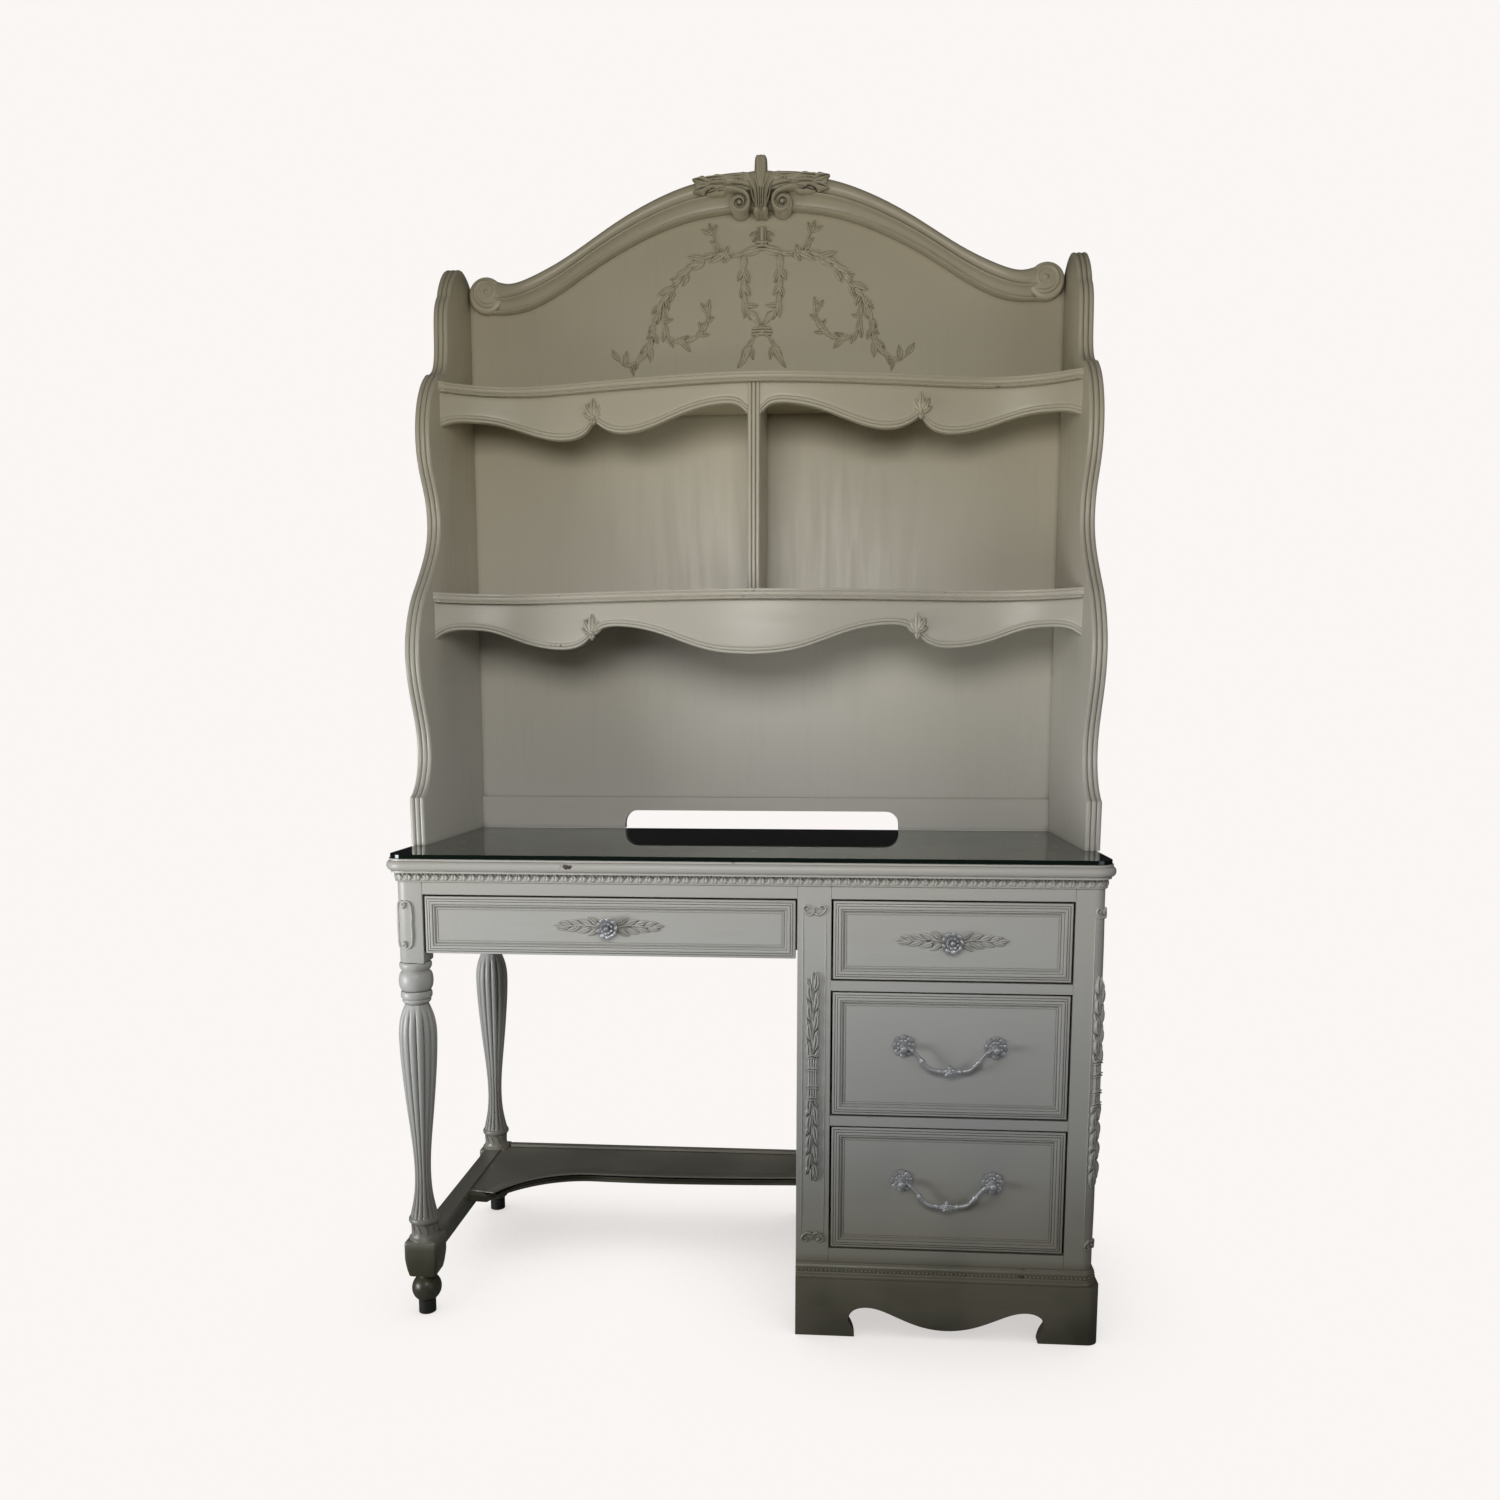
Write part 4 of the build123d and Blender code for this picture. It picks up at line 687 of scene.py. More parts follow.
# Across the moulding: share of its height from the bottom, and how far it stands proud.
CROWN_PROFILE = [
    (0, 14), (0.015, 17), (0.05, 19.5), (0.085, 19), (0.11, 16.5), (0.125, 14), (0.16, 14.5), (0.24, 16.5),
    (0.32, 19.5), (0.38, 22.5), (0.40, 25.5), (0.43, 27.8), (0.465, 28), (0.495, 26), (0.51, 22.5),
    (0.53, 22.8), (0.58, 25.5), (0.66, 28), (0.75, 29), (0.84, 28.2), (0.92, 25.5), (0.975, 21.5), (1, 17)]
back_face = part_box("hutch_back_panel")[0].y
VOLUTE, VOLUTE_RADIUS = np.array((503, 1742)), 32
# The disc at a crown's end: share of its radius, and height.
VOLUTE_DISC = [
    (1.0, 0), (1.0, 10), (0.985, 13), (0.95, 15), (0.88, 16.2), (0.78, 16.6), (0.60, 17), (0.40, 17.6),
    (0.2, 18), (0.02, 18)]
VOLUTE_SIDES = 56
STATIONS, LAST_FULL = 72, 62          # steps along the crown, and where it begins to sink behind its disc
top = spline(in_mm(CROWN_TOP), STATIONS)
bottom = spline(in_mm(CROWN_BOTTOM), STATIONS)
for sign, name, place in zip((1, -1), ("hutch_crown_right", "hutch_crown_left"), both_sides(flat(back_face))):
    crown = Build()
    sections = []
    for i, (t, b) in enumerate(zip(top, bottom)):
        sink = 1 - 0.45 * max(0, (i - LAST_FULL) / 9) ** 1.5
        ring = [(sign * (b[0] + (t[0] - b[0]) * v), back_face - out * MM * sink, b[1] + (t[1] - b[1]) * v)
                for v, out in CROWN_PROFILE]
        sections.append(ring + [(sign * t[0], back_face, t[1]), (sign * b[0], back_face, b[1])])
    crown.rings(sections)
    angles = circle(VOLUTE_SIDES)
    rim = VOLUTE_RADIUS * np.cos(angles), VOLUTE_RADIUS * np.sin(angles)
    crown.rings([place(VOLUTE[0] + r * rim[0], VOLUTE[1] + r * rim[1], np.full(VOLUTE_SIDES, rise))
                 for r, rise in VOLUTE_DISC])
    on_disc = raised(place, 14.5)
    eye = VOLUTE + (-1, 5)
    stem(crown, on_disc, spiral(*eye, 26, 7, -130, 1.6, 60), 9.5, 6, (1.1, 0.6), count=80)
    knob_of(crown, on_disc, *eye, 6, 7, 18)
    crown.piece(name + "_moulded", ROOT, paint_x, name, sharp=42)

# ---------------------------------------------------------------- crest
on_crest = flat(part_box("hutch_crest_carving")[1].y)
on_panel = flat(back_face)
crest = Build()
CREST_EYE, PEARL = (37.5, 1878.5), (7.2, 1865.5)
# Leaves of a wing: x, z, angle, length, width, height, bend, lobes, grid.
CREST_LEAVES = [
    (12, 1901, 22, 60, 26, 15, -38, 4, (23, 11)), (10, 1921, 4, 62, 18, 13.5, -12, 3, (21, 9)),
    (50, 1908, 8, 56, 23, 15.5, -20, 4, (21, 11)), (58, 1922, -2, 56, 15, 13, -6, 3, (19, 9)),
    (88, 1911, 20, 34.5, 22, 15, -10, 2, (15, 9)), (89, 1908, -20, 32, 19, 14, 10, 2, (15, 9)),
    (60, 1902, -20, 26, 15, 12, 20), (74, 1902, -26, 24, 14, 12, 20)]
for place, behind in zip(both_sides(on_crest), both_sides(on_panel)):
    # Wing: a thick mass along the crown, ragged leaves over it and a blunt flared end.
    stem(crest, place, [(4, 1916.5), (40, 1918), (80, 1915.5), (116, 1911.5)], 27, 10, (1, 0.82), 30, 11)
    for row in CREST_LEAVES:
        leaf(crest, place, *row)
    knob_of(crest, place, 43, 1916, 3.4, 14.5)
    knob_of(crest, place, 31, 1918, 3, 14)
    # Volute: a band that comes out of the wing and curls under to its eye.
    column(crest, behind, *CREST_EYE, 17.5, 33)
    band = [(70, 1900.5), (54, 1902), *spiral(*CREST_EYE, 19, 5.5, 96, 1.42, 48)]
    stem(crest, place, band, 8.5, 15, (1.25, 0.7), 84, 9)
    knob_of(crest, place, *CREST_EYE, 5.5, 13, 16)
    stalk = [(11, 1878), (15.5, 1892), (18, 1904), (27, 1912), (40, 1910)]
    stem(crest, place, stalk, 5.5, 16.5, (0.9, 0.7), 30, 9)
    knob_of(crest, place, *PEARL, 6, 16, 16)
    column(crest, behind, *PEARL, 5, 32, 16)
# The middle: a fluted leaf that fans out into the wings, under a blunt upright block.
# Rows are z, half width and height.
FAN = [
    (1863, 6, 12), (1868, 9.5, 15.5), (1876, 12, 17), (1886, 13, 17.4), (1896, 15, 17.2),
    (1905, 19.5, 16.5), (1913, 26, 15), (1920, 31, 13.5), (1926, 30, 11), (1930, 22, 7.5)]
BLOCK = [
    (1900, 5, 17.5), (1912, 7.5, 17.8), (1922, 10.4, 17.4), (1930, 11.6, 16), (1940, 11.4, 15.5),
    (1948, 11, 15), (1952, 10.4, 14.2), (1954, 9.4, 13), (1954.6, 8, 10)]
v = np.linspace(-1, 1, 33)
rounded = (1 - np.abs(v) ** 4.5) ** 0.5
for shape, flutes, depth in ((FAN, 7, 0.20), (BLOCK, 3, 0.10)):
    swell = rounded * (1 - depth * (0.5 - 0.5 * np.cos(v * flutes * math.pi)))
    crest.rings([on_crest(np.r_[v, 1, -1] * half, np.full(len(v) + 2, z), np.r_[swell * rise, SUNK, SUNK])
                 for z, half, rise in shape])
column(crest, on_panel, 0, 1870, 8, 31, 20)
crest.piece("hutch_crest_carved", ROOT, carved, "hutch_crest_carving", sharp=48)

# ---------------------------------------------------------------- garland on the back panel
garland = Build()
STEM_HEIGHT, LEAF_HEIGHT = 4.4, 5.2
# Stems on the right half: width at each end and the line.
GARLAND_STEMS = [
    (3.6, 3, [(4, 1815), (24, 1807), (50, 1805), (76, 1807), (98, 1800), (122, 1790), (142, 1772),
              (160, 1748), (176, 1734), (184, 1722), (193, 1704), (198, 1684), (200, 1664), (208, 1643),
              (226, 1627), (243, 1618), (256, 1620), (263, 1629)]),
    (3.4, 2.8, [(179, 1730), (178, 1708), (178, 1684), (167, 1664), (148, 1657), (128, 1661), (112, 1670),
                (100, 1687), (96, 1704), (99, 1716)]),
    (3.4, 2.8, [(72, 1808), (80, 1822), (86, 1836), (92, 1846)]),
    (4, 3.4, [(32, 1806), (33, 1776), (32, 1746), (28, 1716), (14, 1696), (3, 1680)]),
    (3.4, 3, [(6, 1667), (15, 1659), (23, 1643), (31, 1625), (36, 1614)]),
    (2.6, 2.6, [(7.2, 1852), (6.8, 1836), (6.6, 1816)]),
]
# Leaves on the right half: x, z, angle, length, width, bend.
GARLAND_LEAVES = [
    (6, 1815, -10, 36, 13, -14), (66, 1806, -22, 33, 14, -12), (72, 1806, 198, 20, 9, 16),
    (70, 1804, 128, 19, 10, -20), (78, 1808, 60, 20, 10, 16), (78, 1820, 24, 18, 9, 16),
    (88, 1838, 112, 20, 9, -10), (90, 1840, 30, 22, 10, -14), (90, 1842, 74, 18, 8, 0),
    (104, 1796, 22, 32, 13, -18), (104, 1795, -38, 29, 13, 16), (120, 1789, 168, 18, 8, 10),
    (134, 1780, -22, 30, 13, -24), (134, 1776, -76, 26, 12, 20), (150, 1762, 20, 18, 8, -20),
    (160, 1750, -12, 34, 13, -22), (160, 1746, -78, 22, 10, 12), (176, 1732, -116, 22, 10, 16),
    (184, 1722, -30, 24, 10, -30), (186, 1714, -84, 27, 10, 10), (178, 1692, 158, 18, 9, 16),
    (196, 1690, -44, 20, 9, -24), (198, 1674, -34, 18, 9, -20), (198, 1672, -122, 20, 10, 18),
    (204, 1652, -94, 30, 13, 4), (208, 1648, -64, 28, 11, 8), (206, 1654, -38, 24, 10, -12),
    (228, 1627, -86, 18, 8, 10), (240, 1619, -112, 22, 9, 14), (250, 1619, 92, 25, 12, 12),
    (261, 1626, 50, 25, 12, 14), (176, 1680, -72, 24, 10, -20), (172, 1668, -122, 24, 11, 12),
    (148, 1657, -142, 26, 12, 14), (152, 1658, 146, 22, 9, 24), (128, 1661, 160, 20, 9, -24),
    (120, 1664, 136, 24, 11, -16), (114, 1669, -172, 20, 9, -16), (106, 1676, 52, 18, 9, 20),
    (99, 1690, 150, 16, 8, -20), (99, 1706, 52, 22, 10, 10), (98, 1706, 100, 24, 10, -8),
    (32, 1804, -88, 27, 14, 0), (33, 1780, -58, 24, 12, -12), (33, 1780, -116, 28, 12, 10),
    (33, 1752, -128, 23, 12, 10), (33, 1750, -70, 21, 10, -10), (31, 1724, -88, 30, 12, 0),
    (30, 1718, 188, 24, 11, -8), (24, 1708, -132, 30, 12, 8), (27, 1712, -110, 22, 10, 8),
    (22, 1648, -44, 24, 11, -14), (22, 1646, -64, 33, 14, 8), (20, 1646, -106, 24, 11, 12),
    (34, 1622, -50, 17, 9, -10), (9, 1842, -16, 15, 7, -24), (9, 1834, -44, 12, 6, -10),
    (3, 1813, -28, 30, 12, 20), (34, 1806, -12, 24, 10, 10), (58, 1806, -60, 20, 10, 20),
    (84, 1806, -6, 28, 11, -20), (112, 1793, -10, 26, 12, -10), (126, 1787, -34, 26, 11, -10),
    (146, 1768, -44, 26, 12, 8), (166, 1742, -40, 24, 12, -10), (182, 1730, -74, 26, 11, 6),
    (190, 1708, -66, 26, 11, -6), (197, 1688, -84, 24, 10, 0), (200, 1664, -70, 24, 11, 4),
    (216, 1636, -44, 26, 11, 6), (232, 1622, -20, 22, 9, 10), (178, 1712, -96, 26, 10, 4),
    (178, 1690, -100, 26, 11, -14), (160, 1660, -166, 26, 11, -12), (138, 1658, 168, 24, 10, -14),
    (108, 1674, 118, 24, 11, -10), (98, 1694, 92, 22, 9, 0), (33, 1796, -90, 26, 12, 0),
    (33, 1766, -92, 28, 12, 0), (32, 1738, -94, 28, 11, 0), (18, 1700, -136, 24, 11, 0),
    (14, 1706, -110, 20, 9, 0), (14, 1660, -52, 24, 9, 0), (28, 1634, -62, 26, 12, 0)]
# Ribbons that tie the sprays: z, width, thickness.
GARLAND_TIES = [(1823, 22, 6), (1817, 25, 6), (1811, 20, 5), (1676, 34, 6), (1671, 38, 6), (1666, 36, 6)]
for place in both_sides(on_panel):
    for width, end, points in GARLAND_STEMS:
        stem(garland, place, points, width, STEM_HEIGHT, (1.0, end / width), 6 * len(points))
    for x, z, angle, length, width, bend in GARLAND_LEAVES:
        leaf(garland, place, x, z, angle, length, width, LEAF_HEIGHT, bend, size=(9, 7))
for z, width, thick in GARLAND_TIES:
    stem(garland, on_panel, [(-width / 2, z), (0, z + 1.2), (width / 2, z)], thick, 6, count=14)
stem(garland, on_panel, [(0, 1852), (0, 1836), (0, 1817)], 8, 3.4, count=12)
knob_of(garland, on_panel, 0, 1670.5, 4.5, 7.5)
garland.piece("hutch_garland_carved", ROOT, carved, "hutch_garland_carving", sharp=50)

# Small acanthus leaves over the apron notches.
ACANTHUS = [(90, 32, 15, 6.5), (126, 27, 12, 5.8), (54, 27, 12, 5.8), (164, 20, 9, 5), (16, 20, 9, 5),
            (-90, 12, 10, 5)]         # angle, length, width, height
leaves = Build()
for x, z, shelf in ((278, 1482, "hutch_upper_shelf"), (274, 1116, "hutch_lower_shelf")):
    front = shelf_lines[shelf]
    for cx in (x, -x):
        place = flat(float(np.interp(cx * MM, front[:, 0], front[:, 1])) + APRON_SETBACK - 0.2 * MM)
        for angle, length, width, height in ACANTHUS:
            bend = 0.35 * (90 - angle) if angle > 0 else 0
            leaf(leaves, place, cx, z + 4, angle, length, width, height, bend)
        knob_of(leaves, place, cx, z + 5, 4, 7.5)
leaves.piece("hutch_apron_leaves", ROOT, carved, "hutch_apron_carvings", sharp=50)

# ---------------------------------------------------------------- carved courses round the desk
def around(plan):
    """Places (distance along, z, height), in millimetres, on an upright surface over a plan in metres."""
    t = distances(plan)
    n = normals(plan)
    n /= np.linalg.norm(n, axis=1)[:, None]

    def place(a, b, h):
        a, b, h = (v * MM for v in np.broadcast_arrays(a, b, h))
        at = np.stack([np.interp(a, t, plan[:, k]) for k in (0, 1)], axis=-1)
        out = np.stack([np.interp(a, t, n[:, k]) for k in (0, 1)], axis=-1)
        return np.concatenate([at + out * h[..., None], b[..., None]], axis=-1)

    return place


case_low, case_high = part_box("pedestal_corner_post")
face_y, case_right = case_low.y, case_high.x
case_left = -case_right
case_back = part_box("pedestal_back")[1].y
CORNER = 18 * MM
APART = 0.2 * MM                      # keeps the start of a corner off the straight's last point


def case_plan(x0, x1, y_back, left=True, right=True):
    """Plan of the case from its right side round the front to the left, normals outward."""
    turn = np.linspace(0, math.pi / 2, 9)
    near, far = CORNER * (1 - np.sin(turn)), CORNER * (1 - np.cos(turn))
    points = [(x1, face_y)]
    if right:
        points = [(x1, y_back), (x1, face_y + CORNER + APART), *zip(x1 - far, face_y + near)]
    if left:
        return np.array([*points, *zip(x0 + near, face_y + far), (x0, face_y + CORNER + APART), (x0, y_back)])
    return np.array([*points, (x0, face_y)])


def dense(plan, step):
    """The same plan with points added so that none are further apart than step."""
    t = distances(plan)
    s = np.unique(np.r_[t, np.arange(0, t[-1], step)])
    s = s[np.r_[True, np.diff(s) > 1e-6]]
    return np.stack([np.interp(s, t, plan[:, k]) for k in (0, 1)], axis=-1)


def course(name, node, plan, lower, upper, row, height, pitch):
    """A moulded band along a plan curve, with a row of small leaves on it, or of beads if height is 0.

    Its section is (out, up from the bottom) in lower and (out, down from the top) in upper.
    """
    low, high = (corner.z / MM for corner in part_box(node))
    section = [(out, low + up) for out, up in lower] + [(out, high - down) for out, down in upper]
    out, up = np.array(section).T
    plan = dense(plan, 0.2)
    place = around(plan)
    along = distances(plan) / MM
    band = Build()
    band.rings([place(s, up, out) for s in along])
    count = int(along[-1] / pitch)
    for i in range(count):
        a = (i + 0.5) * along[-1] / count
        if height:
            leaf(band, raised(place, 1.6), a, low + row, 90, height, pitch * 0.90, 3.8, size=(6, 7))
            knob_of(band, raised(place, 1.6), a + pitch / 2, low + row + height * 0.80, 1.7, 2.8, 6)
        else:
            knob_of(band, place, a, low + row, pitch * 0.42, 6.6, 8)
    band.piece(name, ROOT, course_paint, node, sharp=50)


TOP_BAND_FOOT = [(0, 0), (2.4, 0), (3.4, 0.6), (3.6, 1.6), (2.8, 2.4), (2.0, 2.8)]
TOP_BAND_HEAD = [(2.0, 2.2), (3.2, 1.4), (4.6, 0.6), (6, 0), (0, 0)]
course("desk_top_leaf_course", "desk_top_bead", case_plan(case_left, case_right, case_back),
       TOP_BAND_FOOT, TOP_BAND_HEAD, row=2.6, height=12, pitch=14.6)
BASE_BAND_FOOT = [
    (0, 0), (7, 0), (7, 2), (6.6, 3.4), (5.8, 4.4), (5.6, 6.2), (6.0, 7.2), (5.6, 8.4), (4.4, 9.2),
    (4.2, 15), (4.8, 16), (5.0, 17.6), (4.4, 19), (3.2, 19.8), (2.8, 21.6)]
base_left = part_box("base_bead")[0].x
course("base_leaf_course", "base_bead", case_plan(base_left, case_right, case_back, left=False),
       BASE_BAND_FOOT, [(1.8, 0), (0, 0)], row=12.1, height=0, pitch=6.4)

# ---------------------------------------------------------------- turned legs
# Turned profiles, (radius, z), from the top down or, for the foot, from the bottom up.
TOP_RINGS = [
    (15, 592), (23.4, 591.6), (25, 590), (25.5, 587), (25, 583.6), (23.6, 580.6), (21.8, 579), (21.2, 577.4)]
BULB = [(21.6 + 5.4 * math.cos(a), 561 + 15.2 * math.sin(a)) for a in np.linspace(1.45, -1.45, 13)]
LOW_RINGS = [
    (21.4, 544.9), (23.4, 544.2), (24.5, 542), (24.8, 537.6), (24.3, 534), (22.4, 532.2), (21.8, 531.2),
    (22.6, 530), (22.6, 528.2), (21, 525.8), (18.4, 523.6)]
VASE = [
    (18.5, 523), (25.5, 505), (29.5, 484), (30, 462), (27.5, 415), (19.6, 330), (13.5, 262), (13, 234),
    (15.5, 200), (22.5, 166)]
VASE_FOOT = (21, 165.5)
COLLAR = [
    (20, 167), (23.6, 165.6), (25, 163), (25, 159.6), (23.6, 157.4), (21.6, 156.4), (20.4, 154.6),
    (20.0, 150), (20.4, 142), (21.6, 136), (23.4, 132.2), (25.4, 130.8), (26.0, 129.0)]
BALL = [(24 * math.cos(a), 42 + 24 * math.sin(a)) for a in np.linspace(-0.985, 1.02, 18)]
NECK = [(12.2, 63.4), (12.0, 64.6), (14.2, 65.4), (14.8, 66.8), (14.2, 68.4), (12, 69.0)]
# The square block over the ball: z and half width.
BLOCK_HALF, BLOCK_CORNER = 27, 5
LEG_BLOCK = [
    (68, 20), (69.5, 22), (80, 24.4), (92, 26.2), (100, 27), (124.5, 27), (127.5, 26.4), (129.2, 25),
    (130, 22)]
HEAD_HALF = 22
REEDS, REEDS_TOP, REEDS_FOOT = 14, 520, 163
COLLAR_LEAVES = 12


def reeded(angles, z):
    """Radius factor of a reeded turning: rounded reeds that fade out at both ends."""
    fade = min(1, max(0, (REEDS_TOP - z) / 18)) * min(1, max(0, (z - REEDS_FOOT) / 10))
    t = (angles * REEDS / (2 * math.pi)) % 1 * 2 - 1
    return 1 - 0.13 * fade * (1 - np.sqrt(np.maximum(0, 1 - t * t)))


def post_loop(half, ease, front_left=None):
    """Plan of a square post, its corners eased, and the front left one perhaps more rounded."""
    points = []
    for k, (sx, sy) in enumerate(((1, 1), (-1, 1), (-1, -1), (1, -1))):
        radius = front_left if front_left and k == 2 else ease
        turn = np.radians(90 * k + np.linspace(0, 90, 9))
        points.append(np.c_[sx * (half - radius) + radius * np.cos(turn),
                            sy * (half - radius) + radius * np.sin(turn)])
    return np.vstack(points)


def leg(name, corner):
    """One leg. corner is the radius of its head's front left corner, in millimetres, or None."""
    low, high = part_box(name)
    centre = np.array(((low.x + high.x) / 2, (low.y + high.y) / 2))
    turned = Build()

    def stack(plan, half, levels):
        turned.rings([np.c_[centre + plan * MM * (width / half), np.full(len(plan), z * MM)]
                      for z, width in levels])

    stack(post_loop(HEAD_HALF, 1.2, corner), HEAD_HALF,
          [(591, 19.5), (592.2, 21.1), (594, HEAD_HALF), (high.z / MM, HEAD_HALF)])
    turned.lathe(TOP_RINGS + BULB + LOW_RINGS, *centre, 48)
    turned.lathe([*spline(VASE, 64), VASE_FOOT], *centre, REEDS * 8, reeded)
    turned.lathe(COLLAR, *centre, 48)
    ring = np.linspace(0, 2 * math.pi, 73)
    waist = np.c_[centre[0] + 20.4 * MM * np.cos(ring), centre[1] - 20.4 * MM * np.sin(ring)][::-1]
    pitch = distances(waist)[-1] / MM / COLLAR_LEAVES
    for i in range(COLLAR_LEAVES):
        leaf(turned, around(waist), (i + 0.5) * pitch, 131.5, 90, 23.5, pitch * 0.98, 4.4, size=(8, 7))
    stack(post_loop(BLOCK_HALF, BLOCK_CORNER), BLOCK_HALF, LEG_BLOCK)
    turned.lathe(BALL + NECK, *centre, 40)
    turned.piece(name + "_turned", ROOT, paint_z, name, sharp=38)


leg("front_left_leg", CORNER / MM)
leg("back_left_leg", None)

# ---------------------------------------------------------------- stretchers, stile, rails
low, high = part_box("shelf_stretcher")
loop = outline("shelf_stretcher", 2, high.z)
corner = loop[np.argmax(loop[:, 0] - 3 * loop[:, 1])]
start = loop[np.argmin(loop[:, 1] * 10 - loop[:, 0])]
front = resample(front_run(loop, start, corner, 1), 8 * MM, 40)
STRETCHER_EDGE = [
    (30, 1.6), (24, 1.6), (22.4, 1.0), (21.4, 0), (4.2, 0), (3.2, 0.4), (2.8, 1.4), (1.6, 1.9), (0.4, 3.0),
    (0, 5.0), (0.4, 7.4), (1.8, 9.0), (3.6, 9.6), (3.8, 11.2), (2.6, 12.0), (2.2, 14), (3.0, 16), (5, 17.2),
    (6, 22)]
board = Build()
leg_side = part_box("back_left_leg")[1].x
rest = [(high.x, high.y), (leg_side, high.y), (low.x, high.y - 36 * MM), (low.x, front[0, 1])]
board.edged(front, rest, in_mm(STRETCHER_EDGE),
            lambda p, depth: np.c_[p, np.full(len(p), high.z - depth)])
board.box((leg_side + MM, high.y - 14 * MM, high.z - MM), (high.x, high.y, high.z + 4 * MM))
board.piece("shelf_stretcher_moulded", ROOT, paint_x, "shelf_stretcher", sharp=40)


def boards(name, finish, node, spans=None, bevel=0.7 * MM):
    """Replace a CAD node made of plain boards with the same boards, arrises eased."""
    low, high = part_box(node)
    build = Build()
    for z0, z1 in spans or [(low.z, high.z)]:
        build.box((low.x, low.y, z0), (high.x, high.y, z1), bevel)
    build.piece(name, ROOT, finish, node)


fronts = {n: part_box(f"{n}_drawer_front") for n in ("centre", "top", "middle", "bottom")}
RAIL_GAP = 2.5 * MM
low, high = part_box("pedestal_rails")
spans = [(fronts["top"][1].z + 3 * MM, high.z)]
for above, below in (("top", "middle"), ("middle", "bottom")):
    spans.append((fronts[below][1].z + RAIL_GAP, fronts[above][0].z - RAIL_GAP))
spans.append((low.z, fronts["bottom"][0].z - RAIL_GAP))
boards("pedestal_rails_eased", paint_x, "pedestal_rails", spans)
boards("front_top_rail_eased", paint_x, "front_top_rail")
boards("side_stretcher_eased", paint_y, "side_stretcher", bevel=3 * MM)
boards("left_apron_eased", paint_y, "left_apron")
boards("back_apron_eased", paint_x, "back_apron")

# The stile is a board with its arrises eased; its two fine lines are carved with the post trim below.
low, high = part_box("pedestal_left_stile")
STILE_PROFILE = [(1.0, 20), (0, 19), (0, 0.8), (0.8, 0)]
stile = Build()
stile.framed(rectangle(low.x, high.x, low.z, high.z), in_mm(STILE_PROFILE), upright(low.y))
stile.piece("pedestal_stile_panelled", ROOT, paint_z, "pedestal_left_stile")

# ---------------------------------------------------------------- drawers
FRONT_PROFILE = [
    (0.8, 20), (0, 19.2), (0, 2.8), (0.5, 2.0), (1.2, 1.7), (3.4, 1.7), (3.6, 2.7), (4.6, 2.7), (4.8, 1.3),
    (5.6, 0.9), (7.2, 0.8), (7.4, 1.8), (8.2, 1.8), (8.4, 0.4), (9.2, 0.05), (10.4, 0), (11.6, 0.1),
    (12.4, 0.6), (12.6, 1.9), (13.4, 2.0), (13.6, 1.3), (15.0, 1.4), (15.4, 2.2), (16.2, 3.4), (17.2, 4.2),
    (18.0, 4.1), (18.3, 2.9), (19.8, 2.8), (20.3, 3.7), (21.1, 3.7), (21.4, 3.0), (24.5, 3.0)]
for n, (low, high) in fronts.items():
    front = Build()
    front.framed(rectangle(low.x, high.x, low.z, high.z), in_mm(FRONT_PROFILE),
                 upright(low.y))
    front.piece(f"{n}_drawer_front_moulded", f"{n}_drawer", front_paint, f"{n}_drawer_front")

field_y = face_y + 3 * MM
FLOWER_SIDES = 80
# Rings of a cast flower from the back to the front: share of its radius and of its height, each with
# what the outer and the inner petals add to it.
FLOWER_RINGS = [
    (0.80, 0.16, 0, 0, 0, 0), (0.83, 0.17, 0, 0.14, 0.08, 0), (0.82, 0.16, 0, 0.20, 0.22, 0),
    (0.76, 0.13, 0, 0.22, 0.26, 0), (0.68, 0.07, 0, 0.20, 0.20, 0), (0.58, 0.04, 0, 0.20, 0.10, 0),
    (0.54, 0, 0.07, 0.22, 0.06, 0), (0.53, 0, 0.08, 0.42, 0, 0.16), (0.47, 0, 0.06, 0.46, 0, 0.24),
    (0.38, 0, 0.02, 0.40, 0, 0.22), (0.29, 0, 0, 0.36, 0, 0.10), (0.245, 0, 0, 0.40, 0, 0),
    (0.235, 0, 0, 0.72, 0, 0), (0.18, 0, 0, 0.92, 0, 0), (0.10, 0, 0, 0.985, 0, 0), (0.02, 0, 0, 1, 0, 0)]


def flower(build, x, z, y_back, radius, petals, rise):
    """A cast flower: an outer and an inner ring of rounded petals and a button, facing the sitter."""
    angles = circle(FLOWER_SIDES)
    outer = np.abs(np.cos(petals * angles / 2)) ** 0.45
    inner = np.abs(np.sin(petals * angles / 2)) ** 0.45
    levels = [(share + a * outer + b * inner, up + c * outer + d * inner)
                 for share, a, b, up, c, d in FLOWER_RINGS]
    build.rings([np.c_[x + radius * MM * share * np.cos(angles), y_back - rise * MM * up,
                       z + radius * MM * share * np.sin(angles)] for share, up in levels])


def turned_y(build, x, z, y, profile, sides=28):
    """A turned form along Y: profile is (radius, how far it stands proud of y) in millimetres."""
    angles = circle(sides)
    build.rings([np.c_[x + r * MM * np.cos(angles), np.full(sides, y - out * MM), z + r * MM * np.sin(angles)]
                 for r, out in profile])


def fixing(build, x, z):
    """The bolt that holds a knob or post, with its head inside the drawer."""
    inside = fronts["top"][1].y
    shank = [(2.0, (inside - field_y) / MM), (2.0, 0)]
    turned_y(build, x, z, inside, shank + [(4.7, 0), (5.0, -0.4), (4.8, -1.5), (3.4, -2.3), (1.0, -2.5)], 20)


KNOB_NECK = [(8.6, 0), (8.8, 1), (7.4, 2), (6.6, 4), (7.6, 7.5), (12, 9.6), (13, 10.6)]
